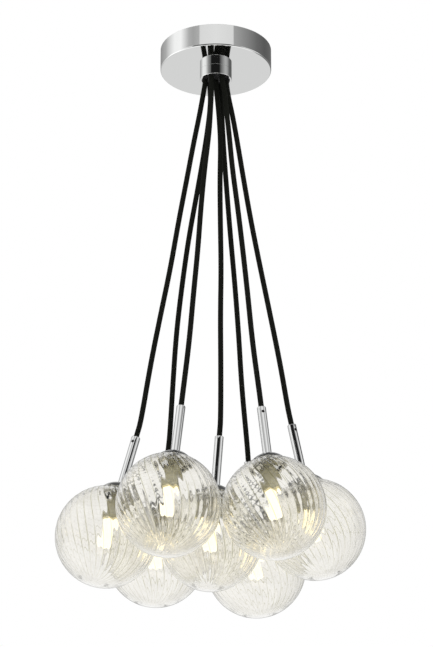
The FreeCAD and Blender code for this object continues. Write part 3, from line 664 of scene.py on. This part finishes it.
# %% [markdown]
# ## The canopy and the collar
# The canopy is a cup pressed from sheet, with its open side on the ceiling, a tight round edge below and a flat
# underside as bright as a mirror. The collar is a short turned tube that hangs under it. Both are spun from an outline.
# The wall of the canopy has two small holes for grub screws, drilled through a part of the wall that has a few extra
# rings of faces, so that the polished reflection stays clean around them. One more ring close to each rounded edge
# keeps the smooth shading of that edge from bending the flat and the straight faces beside it.

# %% Spin the canopy
CANOPY_WALL = 1.2 * MM
CANOPY_EDGE = 1.5 * MM
CANOPY_HOLE = 19.55 * MM
SCREW_DROP = 9 * MM
SCREW_HOLE = 2.15 * MM
SCREW_BAND = 3 * MM
CANOPY_DRILL = 4 * MM
RIM_CHAMFER = 0.3 * MM
INNER_ROUND = 1 * MM
INNER_STEPS = 4
ROUND_STEPS = 8
EDGE_SUPPORT = 0.3 * MM

low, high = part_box("canopy")
rim = (high.x - low.x) / 2
under = low.z
inside = rim - CANOPY_WALL
band_low, band_high = -SCREW_DROP - SCREW_BAND, -SCREW_DROP + SCREW_BAND
outline = [(CANOPY_HOLE, under), (rim - CANOPY_EDGE - EDGE_SUPPORT, under)]
outline += arc((rim - CANOPY_EDGE, under + CANOPY_EDGE), CANOPY_EDGE, -90, 0, ROUND_STEPS)
outline += [(rim, under + CANOPY_EDGE + EDGE_SUPPORT), (rim, band_low), (rim, band_high), (rim, -RIM_CHAMFER)]
outline += [(rim - RIM_CHAMFER, 0), (inside + RIM_CHAMFER, 0), (inside, -RIM_CHAMFER)]
outline += [(inside, band_high), (inside, band_low)]
outline += arc((inside - INNER_ROUND, under + CANOPY_WALL + INNER_ROUND), INNER_ROUND, 0, -90, INNER_STEPS)
outline += [(CANOPY_HOLE, under + CANOPY_WALL), outline[0]]
canopy = turned_piece("canopy_cup", outline, steps=192)
for side in (1, -1):
    drilled(canopy, SCREW_HOLE, CANOPY_DRILL, (side * rim, 0, -SCREW_DROP), (side, 0, 0))
dressed(canopy, chrome, "chrome", "ceiling_rose", "canopy")
print("canopy", len(canopy.data.polygons), "faces")

# %% Spin the collar
COLLAR_WALL = 1.6 * MM
COLLAR_LIP = 0.8 * MM
COLLAR_LIP_HEIGHT = 1.5 * MM
COLLAR_EDGE = 0.6 * MM
COLLAR_SHOULDER = 0.6 * MM
COLLAR_CHAMFER = 0.15 * MM
LIP_CHAMFER = 0.2 * MM

low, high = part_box("collar")
outer = (high.x - low.x) / 2
bore = outer - COLLAR_WALL
lip = bore - COLLAR_LIP
outline = [(lip, low.z + LIP_CHAMFER), (lip + LIP_CHAMFER, low.z)]
outline += arc((outer - COLLAR_EDGE, low.z + COLLAR_EDGE), COLLAR_EDGE, -90, 0, ROUND_STEPS)
outline += [(outer, low.z + COLLAR_EDGE + EDGE_SUPPORT), (outer, under - COLLAR_CHAMFER)]
outline += [(outer - COLLAR_CHAMFER, under), (outer - COLLAR_SHOULDER, under)]
outline += [(outer - COLLAR_SHOULDER, high.z), (bore, high.z)]
outline += [(bore, low.z + COLLAR_LIP_HEIGHT), (lip, low.z + COLLAR_LIP_HEIGHT), outline[0]]
collar = turned_piece("collar_tube", outline, steps=128)
dressed(collar, chrome, "chrome", "ceiling_rose", "collar")
print("collar", len(collar.data.polygons), "faces")

# %% [markdown]
# ## The hardware behind the canopy
# The bracket, ring nut, spacer, terminal block, grips and screws have the right shape in the model already, and only
# need their finish.

# %% Finish the inner hardware
INNER_FINISHES = {
    "ceiling_bracket": zinc, "collar_nut": zinc, "canopy_screws": zinc, "cord_spacer": black_plastic,
    "cord_grips": black_plastic, "terminal_block": white_plastic, "cord_tails": black_plastic,
}
for node, material in INNER_FINISHES.items():
    frame["nodes"][node].data.materials.clear()
    frame["nodes"][node].data.materials.append(material)
print("finished as they are:", list(INNER_FINISHES))

# %% [markdown]
# ## The stems
# A stem is a slim chromed tube. Its upper end is rounded, and near it a tiny grub screw is sunk in its side. The tube
# gets extra rings of faces round the screw, for the same reason as the canopy. The screw is a short cylinder, and its
# socket is the front face, inset and pushed in.

# %% Spin the stems
STEM_RADIUS = 5.25 * MM
STEM_BORE = 3.5 * MM
STEM_EDGE = 1.0 * MM
STEM_SCREW_DROP = 7.5 * MM
STEM_SCREW_RADIUS = 1.85 * MM
STEM_SCREW_BAND = 2.3 * MM
STEM_DRILL = 3 * MM
BORE_CHAMFER = 0.2 * MM

screw_height = STEM_TOP - STEM_SCREW_DROP
outline = [
    (STEM_BORE, HOLDER_SEAT), (STEM_RADIUS, HOLDER_SEAT), (STEM_RADIUS, screw_height - STEM_SCREW_BAND),
    (STEM_RADIUS, screw_height + STEM_SCREW_BAND),
]
outline += arc((STEM_RADIUS - STEM_EDGE, STEM_TOP - STEM_EDGE), STEM_EDGE, 0, 90, ROUND_STEPS)
outline += [(STEM_BORE + BORE_CHAMFER, STEM_TOP), (STEM_BORE, STEM_TOP - BORE_CHAMFER), outline[0]]
stem = turned_piece("stem_tube", outline, steps=64)
drilled(stem, STEM_SCREW_RADIUS, STEM_DRILL, (0, -STEM_RADIUS, screw_height), (0, -1, 0))
copy_to_pendants(stem, "stem_tube", chrome, "chrome", "pendant_{}", "stem_{}")

# %% Make the stems' grub screws
SCREW_LENGTH = 1.35 * MM
SCREW_PLAY = 0.05 * MM
SCREW_SIDES = 24
SOCKET_RADIUS = 0.75 * MM
SOCKET_DEPTH = 0.9 * MM

bpy.ops.object.select_all(action="DESELECT")
bpy.ops.mesh.primitive_cylinder_add(
    vertices=SCREW_SIDES, radius=STEM_SCREW_RADIUS - SCREW_PLAY, depth=SCREW_LENGTH,
    location=(0, -STEM_BORE - SCREW_LENGTH / 2, screw_height), rotation=(math.pi / 2, 0, 0))
screw = bpy.context.object
screw.name = "stem_screw"
bpy.ops.object.transform_apply(location=True, rotation=True, scale=True)
bpy.ops.object.mode_set(mode="EDIT")
bpy.ops.mesh.select_all(action="DESELECT")
bpy.ops.object.mode_set(mode="OBJECT")
front = min(screw.data.polygons, key=lambda face: face.center.y)
front.select = True
bpy.ops.object.mode_set(mode="EDIT")
bpy.ops.mesh.inset(thickness=STEM_SCREW_RADIUS - SOCKET_RADIUS, depth=0)
bpy.ops.mesh.extrude_region_move(TRANSFORM_OT_translate={"value": (0, SOCKET_DEPTH, 0)})
bpy.ops.object.mode_set(mode="OBJECT")
finish_mesh(screw, SMOOTH_ANGLE)
copy_to_pendants(screw, "stem_screw", black_steel, "spring_steel", "pendant_{}")

# %% [markdown]
# ## The caps
# A thin chromed dome covers the hole of each globe. Its outside and inside are arcs of two balls with one centre, and
# its rim is rounded.

# %% Spin the caps
CAP_RADIUS = 22.5 * MM
CAP_RISE = 12 * MM
CAP_WALL = 1 * MM
CAP_RIM = 56.4 * MM
CAP_RIM_ROUND = 0.25 * MM
CAP_PLAY = 0.05 * MM
DOME_STEPS = 24

dome = (CAP_RADIUS ** 2 + CAP_RISE ** 2) / (2 * CAP_RISE)
centre = (0, CAP_RIM + CAP_RISE - dome)
edge = math.degrees(math.asin((dome - CAP_RISE) / dome))
hole = STEM_RADIUS + CAP_PLAY
top = math.degrees(math.acos(hole / dome))
inner_edge = math.degrees(math.asin((dome - CAP_RISE) / (dome - CAP_WALL)))
inner_top = math.degrees(math.acos(hole / (dome - CAP_WALL)))
outline = arc(centre, dome, edge, top, DOME_STEPS)
outline += arc(centre, dome - CAP_WALL, inner_top, inner_edge, DOME_STEPS)
outline.append(outline[0])
cap = turned_piece("cap_dome", outline, steps=96)
bevel = cap.modifiers.new("rim", "BEVEL")
bevel.width = CAP_RIM_ROUND
bevel.segments = 2
bevel.limit_method = "ANGLE"
bpy.ops.object.modifier_apply(modifier=bevel.name)
bpy.ops.object.shade_smooth_by_angle(angle=math.radians(WIDE_SMOOTH_ANGLE))
copy_to_pendants(cap, "cap_dome", chrome, "chrome", "pendant_{}", "cap_{}")

# %% [markdown]
# ## The lampholders
# The holder is a stepped ceramic body: a neck that takes the stem, with a few turned grooves, and a wider part that
# holds the contacts. A slot in its lower face takes the flat foot of the lamp. It gets a UV map while it still stands
# upright: the turn round it, and the height up it.

# %% Spin the lampholders
HOLDER_RADIUS = 10.5 * MM
NECK_RADIUS = 8.8 * MM
HOLDER_TOP = 64.5 * MM
HOLDER_STEP = 45.6 * MM
HOLDER_BOTTOM = 21.6 * MM
SOCKET_WALL = 5.3 * MM
GROOVE = 0.35 * MM
NECK_GROOVES = (60, 56.5, 53, 49.5)
BODY_GROOVES = (40, 28)
SLOT_WIDTH = 11.6 * MM
SLOT_DEPTH = 4.2 * MM
SLOT_HEIGHT = 7 * MM
FOOT_ROUND = 1.2 * MM
SHOULDER_ROUND = 0.8 * MM
NECK_CHAMFER = 0.3 * MM


def grooved(radius, heights):
    """Corners of shallow round grooves in a wall, in order upwards."""
    corners = []
    for height in sorted(heights):
        corners += [(radius, height * MM - 2 * GROOVE), (radius - GROOVE, height * MM - GROOVE),
                    (radius - GROOVE, height * MM + GROOVE), (radius, height * MM + 2 * GROOVE)]
    return corners


def map_by_height(piece, bottom, top):
    """A UV map with the turn round an upright piece, and its height from the bottom to the top."""
    layer = piece.data.uv_layers.new(name="UVMap")
    for face in piece.data.polygons:
        seam = face.center.x < 0 < face.center.y
        for corner in face.loop_indices:
            spot = piece.data.vertices[piece.data.loops[corner].vertex_index].co
            turn = math.atan2(spot.y, spot.x) / (2 * math.pi) + 0.5
            if seam and turn < 0.25:
                turn += 1
            layer.data[corner].uv = (turn, (spot.z - bottom) / (top - bottom))


outline = [(0, HOLDER_BOTTOM), (HOLDER_RADIUS - FOOT_ROUND, HOLDER_BOTTOM)]
outline += arc((HOLDER_RADIUS - FOOT_ROUND, HOLDER_BOTTOM + FOOT_ROUND), FOOT_ROUND, -90, 0, steps=5)
outline += grooved(HOLDER_RADIUS, BODY_GROOVES)
outline += arc((HOLDER_RADIUS - SHOULDER_ROUND, HOLDER_STEP - SHOULDER_ROUND), SHOULDER_ROUND, 0, 90, steps=4)
outline += [(NECK_RADIUS + NECK_CHAMFER, HOLDER_STEP), (NECK_RADIUS, HOLDER_STEP + NECK_CHAMFER)]
outline += grooved(NECK_RADIUS, NECK_GROOVES)
outline += [(NECK_RADIUS, HOLDER_TOP), (SOCKET_WALL, HOLDER_TOP), (SOCKET_WALL, HOLDER_SEAT), (0, HOLDER_SEAT)]
holder = turned_piece("holder_body", outline, steps=64)
bpy.ops.object.select_all(action="DESELECT")
bpy.ops.mesh.primitive_cube_add(size=1, location=(0, 0, HOLDER_BOTTOM), scale=(SLOT_WIDTH, SLOT_DEPTH, 2 * SLOT_HEIGHT))
cutter = bpy.context.object
bpy.context.view_layer.objects.active = holder
modifier = holder.modifiers.new("slot", "BOOLEAN")
modifier.object = cutter
bpy.ops.object.modifier_apply(modifier=modifier.name)
bpy.data.objects.remove(cutter)
holder.select_set(True)
bpy.ops.object.shade_smooth_by_angle(angle=math.radians(SMOOTH_ANGLE))
map_by_height(holder, HOLDER_BOTTOM, HOLDER_TOP)
print("holder", len(holder.data.polygons), "faces")

# %% [markdown]
# The glaze is olive, under a hard gloss, and its tone drifts at random in bands round the body and streaks down it.
# The pale cream end of that drift is painted highlight and the dark end painted shade, spread at random, not where
# light falls. The UV map holds the turn round the body and the height up it, so one noise stretched along the turn
# gives the bands, and one stretched along the height gives the streaks.

# %% Glaze the lampholders
# The darkest stop is painted shade and the lightest a painted highlight; the middle one is the glaze's own olive.
GLAZE_PAINTED_SHADE = (0.24, 0.20, 0.07)
GLAZE_MIDDLE = (0.48, 0.43, 0.20)
GLAZE_PAINTED_HIGHLIGHT = (0.84, 0.83, 0.60)
GLAZE_AND_PAINTED_LIGHT_STOPS = [(0.15, GLAZE_PAINTED_SHADE), (0.5, GLAZE_MIDDLE), (0.85, GLAZE_PAINTED_HIGHLIGHT)]
BAND_STRETCH = (2.0, 13.0, 1.0)
STREAK_STRETCH = (9.0, 1.2, 1.0)
GLAZE_CONTRAST, GLAZE_SHIFT = 1.6, -1.1

ceramic, tree, shader = new_finish("olive_glaze", GLAZE_MIDDLE, Coat_Weight=1.0, Coat_IOR=2.0, Coat_Roughness=0.04)
spot = add_node(tree, "ShaderNodeUVMap", uv_map="UVMap").outputs[0]
layers = []
for stretch in (BAND_STRETCH, STREAK_STRETCH):
    stretched = add_node(tree, "ShaderNodeMapping")
    stretched.inputs["Scale"].default_value = stretch
    plug(tree, stretched.inputs["Vector"], spot)
    cloud = add_node(tree, "ShaderNodeTexNoise")
    cloud.inputs["Scale"].default_value = 1.0
    cloud.inputs["Detail"].default_value = 3.0
    plug(tree, cloud.inputs["Vector"], stretched.outputs[0])
    layers.append(cloud.outputs[0])
# The two noises place the painted highlights and the painted shade over the glaze.
thickness = calculate(tree, "MULTIPLY_ADD", calculate(tree, "ADD", *layers), GLAZE_CONTRAST, GLAZE_SHIFT)
plug(tree, shader.inputs["Base Color"], ramp(tree, thickness, GLAZE_AND_PAINTED_LIGHT_STOPS))
plug(tree, shader.inputs["Roughness"], place_group(tree, smears, Scale=150.0, Low=0.25, High=0.45)[0])
add_bump(tree, shader, place_group(tree, grain, Scale=500.0)["Height"], strength=0.15, distance=0.15 * MM)
copy_to_pendants(holder, "holder_body", ceramic, "ceramic", "pendant_{}", "lampholder_{}")

# %% [markdown]
# ## The spring clips
# The clips are bent from flat steel, and the model's own shape is right for them.

# %% Finish the clips
for name in NAMES:
    clip = frame["nodes"][f"globe_clip_{name}"]
    clip.data.materials.clear()
    clip.data.materials.append(spring_steel)
print("clips finished:", len(NAMES))

# %% [markdown]
# ## The lamps
# A capsule lamp is a small round-ended tube of glass with a pinched flat foot and two pins. It is lit: the glass glows
# almost white in the middle, peach near the holder and golden at the tip. A ramp along the tube gives those colours,
# on a UV map that holds the height. The foot is a block with rounded edges, and one spun pin is copied to make the
# pair.

# %% Spin the lamps
LAMP_RADIUS = 7.5 * MM
LAMP_TOP = 21.3 * MM
LAMP_TIP = -14.7 * MM
LAMP_SHOULDER = 1.5 * MM
LAMP_RING = 10 * MM

outline = [(0, LAMP_TOP), (LAMP_RADIUS - LAMP_SHOULDER, LAMP_TOP)]
outline += arc((LAMP_RADIUS - LAMP_SHOULDER, LAMP_TOP - LAMP_SHOULDER), LAMP_SHOULDER, 90, 0, steps=5)
outline += [(LAMP_RADIUS, LAMP_RING), (LAMP_RADIUS, 0.0)]
outline += arc((0, LAMP_TIP + LAMP_RADIUS), LAMP_RADIUS, 0, -90, steps=16)
lamp = turned_piece("lamp_capsule", outline, steps=48, smooth_angle=60)
map_by_height(lamp, LAMP_TIP, LAMP_TOP)
print("lamp", len(lamp.data.polygons), "faces")

# %% Light the lamps
GLOW_STOPS = [
    (0.0, (1.0, 0.90, 0.66)), (0.06, (0.85, 0.70, 0.38)), (0.10, (0.40, 0.31, 0.12)), (0.14, (0.90, 0.80, 0.58)),
    (0.20, (1.0, 0.985, 0.96)), (0.27, (0.84, 0.76, 0.58)), (0.32, (1.0, 0.985, 0.97)), (0.40, (0.90, 0.84, 0.70)),
    (0.46, (1.0, 0.985, 0.97)), (0.80, (1.0, 0.985, 0.97)), (0.88, (0.85, 0.70, 0.52)), (0.94, (0.62, 0.40, 0.23)),
    (1.0, (0.44, 0.27, 0.13)),
]
SPECK_SCALE = 14.0
SPECK_SHIFT = 0.20

lamp_glass, tree, shader = new_finish("lit_lamp_glass", (0.22, 0.20, 0.17), Roughness=0.15, Coat_Weight=0.5,
                                      Emission_Strength=1.45)
spot = add_node(tree, "ShaderNodeUVMap", uv_map="UVMap").outputs[0]
height = add_node(tree, "ShaderNodeSeparateXYZ")
plug(tree, height.inputs[0], spot)
specks = add_node(tree, "ShaderNodeTexNoise")
specks.inputs["Scale"].default_value = SPECK_SCALE
plug(tree, specks.inputs["Vector"], spot)
wavy = calculate(tree, "MULTIPLY_ADD", specks.outputs[0], SPECK_SHIFT, -SPECK_SHIFT / 2)
along = calculate(tree, "ADD", height.outputs[1], wavy)
plug(tree, shader.inputs["Emission Color"], ramp(tree, along, GLOW_STOPS))
copy_to_pendants(lamp, "lamp_capsule", lamp_glass, "lamp_glass", "bulb_{}", "lamp_{}")

# %% Make the lamps' feet
FOOT_WIDTH = 11 * MM
FOOT_DEPTH = 3.6 * MM
FOOT_TOP = 28.2 * MM
FOOT_EDGE = 0.8 * MM

bpy.ops.object.select_all(action="DESELECT")
bpy.ops.mesh.primitive_cube_add(size=1, location=(0, 0, (LAMP_TOP + FOOT_TOP) / 2),
                                scale=(FOOT_WIDTH, FOOT_DEPTH, FOOT_TOP - LAMP_TOP))
foot = bpy.context.object
foot.name = "lamp_foot"
bpy.ops.object.transform_apply(location=True, rotation=True, scale=True)
modifier = foot.modifiers.new("edges", "BEVEL")
modifier.width = FOOT_EDGE
modifier.segments = 3
bpy.ops.object.modifier_apply(modifier=modifier.name)
bpy.ops.object.shade_smooth_by_angle(angle=math.radians(WIDE_SMOOTH_ANGLE))
foot_glass, tree, shader = new_finish("lamp_foot_glass", (0.85, 0.80, 0.70), Roughness=0.2)
parts = place_group(tree, grain, Scale=500.0)
mottled(tree, shader, parts["Mottle"], (0.78, 0.72, 0.60), (0.90, 0.86, 0.78))
copy_to_pendants(foot, "lamp_foot", foot_glass, "lamp_glass", "bulb_{}")

# %% Make the lamps' pins
PIN_RADIUS = 0.9 * MM
PIN_LENGTH = 6 * MM
PIN_SPACING = 6 * MM
PIN_SINK = 0.4 * MM
PIN_CHAMFER = 0.4 * MM

pin_top = FOOT_TOP + PIN_LENGTH
outline = [(0, FOOT_TOP - PIN_SINK), (PIN_RADIUS, FOOT_TOP - PIN_SINK), (PIN_RADIUS, pin_top - PIN_CHAMFER)]
outline += [(PIN_RADIUS - PIN_CHAMFER, pin_top), (0, pin_top)]
pins = turned_piece("lamp_pins", outline, steps=16)
bpy.ops.object.mode_set(mode="EDIT")
bpy.ops.mesh.select_all(action="SELECT")
bpy.ops.transform.translate(value=(-PIN_SPACING / 2, 0, 0))
bpy.ops.mesh.duplicate_move(TRANSFORM_OT_translate={"value": (PIN_SPACING, 0, 0)})
bpy.ops.object.mode_set(mode="OBJECT")
copy_to_pendants(pins, "lamp_pins", zinc, "zinc", "bulb_{}")

# %% [markdown]
# ## The globes
# The glass is blown into a ribbed mould and turned while it is soft, so its ribs climb the ball in a slow twist. They
# are real relief here: soft waves with a crease at the bottom of each, deeper inside than outside, because the mould
# shapes the outside and the breath evens it out. A ball with a column of faces for every step of a rib is cut open at
# the top; its points are then pushed in by the wave and turned with the twist, which keeps every crease on an edge of
# the mesh. The ribs fade out towards the thick button of glass at the bottom. The inner skin is made the same way, and
# the two are bridged at the hole. Each point of the outer skin keeps how far it is from its crease, for the glass to
# read.

# %% Blow the globes
RIB_COUNT = 36
RIB_STEPS = 8
GLOBE_RINGS = 96
GLOBE_HOLE = 17 * MM
TWIST = math.radians(80)
OUTER_RIB = 0.11 * MM
INNER_RIB = 0.18 * MM
BUTTON = math.radians(5)
FADE = math.radians(14)
CLEAR = 0.6
CREASE_ANGLE = 14


def rib_rise(polar):
    """How far the ribs have risen at an angle from the top: not at all at the button, fully a little above it."""
    rise = min(max((math.pi - polar - BUTTON) / FADE, 0.0), 1.0)
    return rise * rise * (3 - 2 * rise)


def blown_skin(name, radius, depth, lined):
    """A ball open at the top, with twisted ribs of a depth. Only a lined skin keeps where its creases are."""
    bpy.ops.object.select_all(action="DESELECT")
    bpy.ops.mesh.primitive_uv_sphere_add(segments=RIB_COUNT * RIB_STEPS, ring_count=GLOBE_RINGS, radius=radius)
    skin = bpy.context.object
    skin.name = name
    bpy.ops.object.mode_set(mode="EDIT")
    bpy.ops.mesh.select_all(action="SELECT")
    opening = math.sqrt(radius ** 2 - GLOBE_HOLE ** 2)
    bpy.ops.mesh.bisect(plane_co=(0, 0, opening), plane_no=(0, 0, 1), clear_outer=True)
    bpy.ops.object.mode_set(mode="OBJECT")
    from_crease = skin.data.attributes.new("from_crease", "FLOAT", "POINT")
    for vertex in skin.data.vertices:
        reach = vertex.co.length
        polar = math.acos(max(-1.0, min(1.0, vertex.co.z / reach)))
        around = math.atan2(vertex.co.y, vertex.co.x)
        crease = rib_rise(polar) * abs(2 * (RIB_COUNT * around / (2 * math.pi) % 1.0) - 1)
        from_crease.data[vertex.index].value = 1 - crease if lined else CLEAR
        pushed = reach - depth * math.sin(polar) * (1 - math.cos(math.pi * crease)) / 2
        turned = around + TWIST * (1 - (1 - polar / math.pi) ** 2)
        wide = pushed * math.sin(polar)
        vertex.co = (wide * math.cos(turned), wide * math.sin(turned), pushed * math.cos(polar))
    return skin


outer_skin = blown_skin("globe_glass", GLOBE_RADIUS, OUTER_RIB, True)
inner_skin = blown_skin("globe_inner", GLOBE_RADIUS - GLOBE_WALL, -INNER_RIB, False)
inner_skin.data.flip_normals()
bpy.ops.object.select_all(action="DESELECT")
inner_skin.select_set(True)
outer_skin.select_set(True)
bpy.context.view_layer.objects.active = outer_skin
bpy.ops.object.join()
bpy.ops.object.mode_set(mode="EDIT")
bpy.ops.mesh.select_mode(type="EDGE")
bpy.ops.mesh.select_all(action="DESELECT")
bpy.ops.mesh.select_non_manifold(extend=False, use_wire=False, use_multi_face=False, use_non_contiguous=False,
                                 use_verts=False)
bpy.ops.mesh.bridge_edge_loops()
bpy.ops.object.mode_set(mode="OBJECT")
bpy.ops.object.shade_smooth_by_angle(angle=math.radians(CREASE_ANGLE))
print("globe", len(outer_skin.data.polygons), "faces on both skins")

# %% [markdown]
# Clear glass is never quite clear. Where a crease turns the light away, real glass shows a thin dark line, strong in
# one place and gone in the next; here that line is painted shade, with a fainter painted line in the middle of each
# lobe, and towards the creases the lobes are painted a shade darker, which is what makes the ribs read at all against
# a white room. The distance from the crease drives that painted shade, and a slow noise breaks up the lines. Only the
# outer skin has them; the inner skin has the tint of clear glass all over.

# %% Tint the glass and paint shade along its ribs
# The dark stops at the crease and the faint one near the middle of a lobe are painted shade; the rest is the glass's
# own tint.
GLASS_TINT_AND_PAINTED_SHADE_STOPS = [
    (0.00, (0.34, 0.33, 0.20)), (0.05, (0.48, 0.465, 0.30)), (0.15, (0.95, 0.94, 0.90)), (0.40, (0.985, 0.976, 0.945)),
    (0.86, (0.99, 0.98, 0.955)), (0.95, (0.90, 0.885, 0.84)), (1.00, (0.99, 0.98, 0.955)),
]
GLASS_COLOUR = (0.98, 0.968, 0.94)
BREAK_EDGES, BREAK_SHIFT = (0.40, 0.60), 0.08

clear_glass, tree, shader = new_finish("clear_glass", GLASS_COLOUR, Transmission_Weight=1.0, IOR=1.5, Roughness=0.0)
parts = place_group(tree, grain, Scale=30.0)
gap = add_node(tree, "ShaderNodeAttribute", attribute_name="from_crease").outputs["Fac"]
# The noise shifts where the painted shade lines fall, so that they come and go.
tint_and_painted_shade_place = calculate(tree, "ADD", gap, spread(tree, parts["Height"], *BREAK_EDGES, 0.0, BREAK_SHIFT))
plug(tree, shader.inputs["Base Color"], ramp(tree, tint_and_painted_shade_place, GLASS_TINT_AND_PAINTED_SHADE_STOPS))
add_bump(tree, shader, parts["Height"], strength=0.03, distance=0.5 * MM)
copy_to_pendants(outer_skin, "globe_glass", clear_glass, "globe_glass", "shade_{}", "globe_{}")
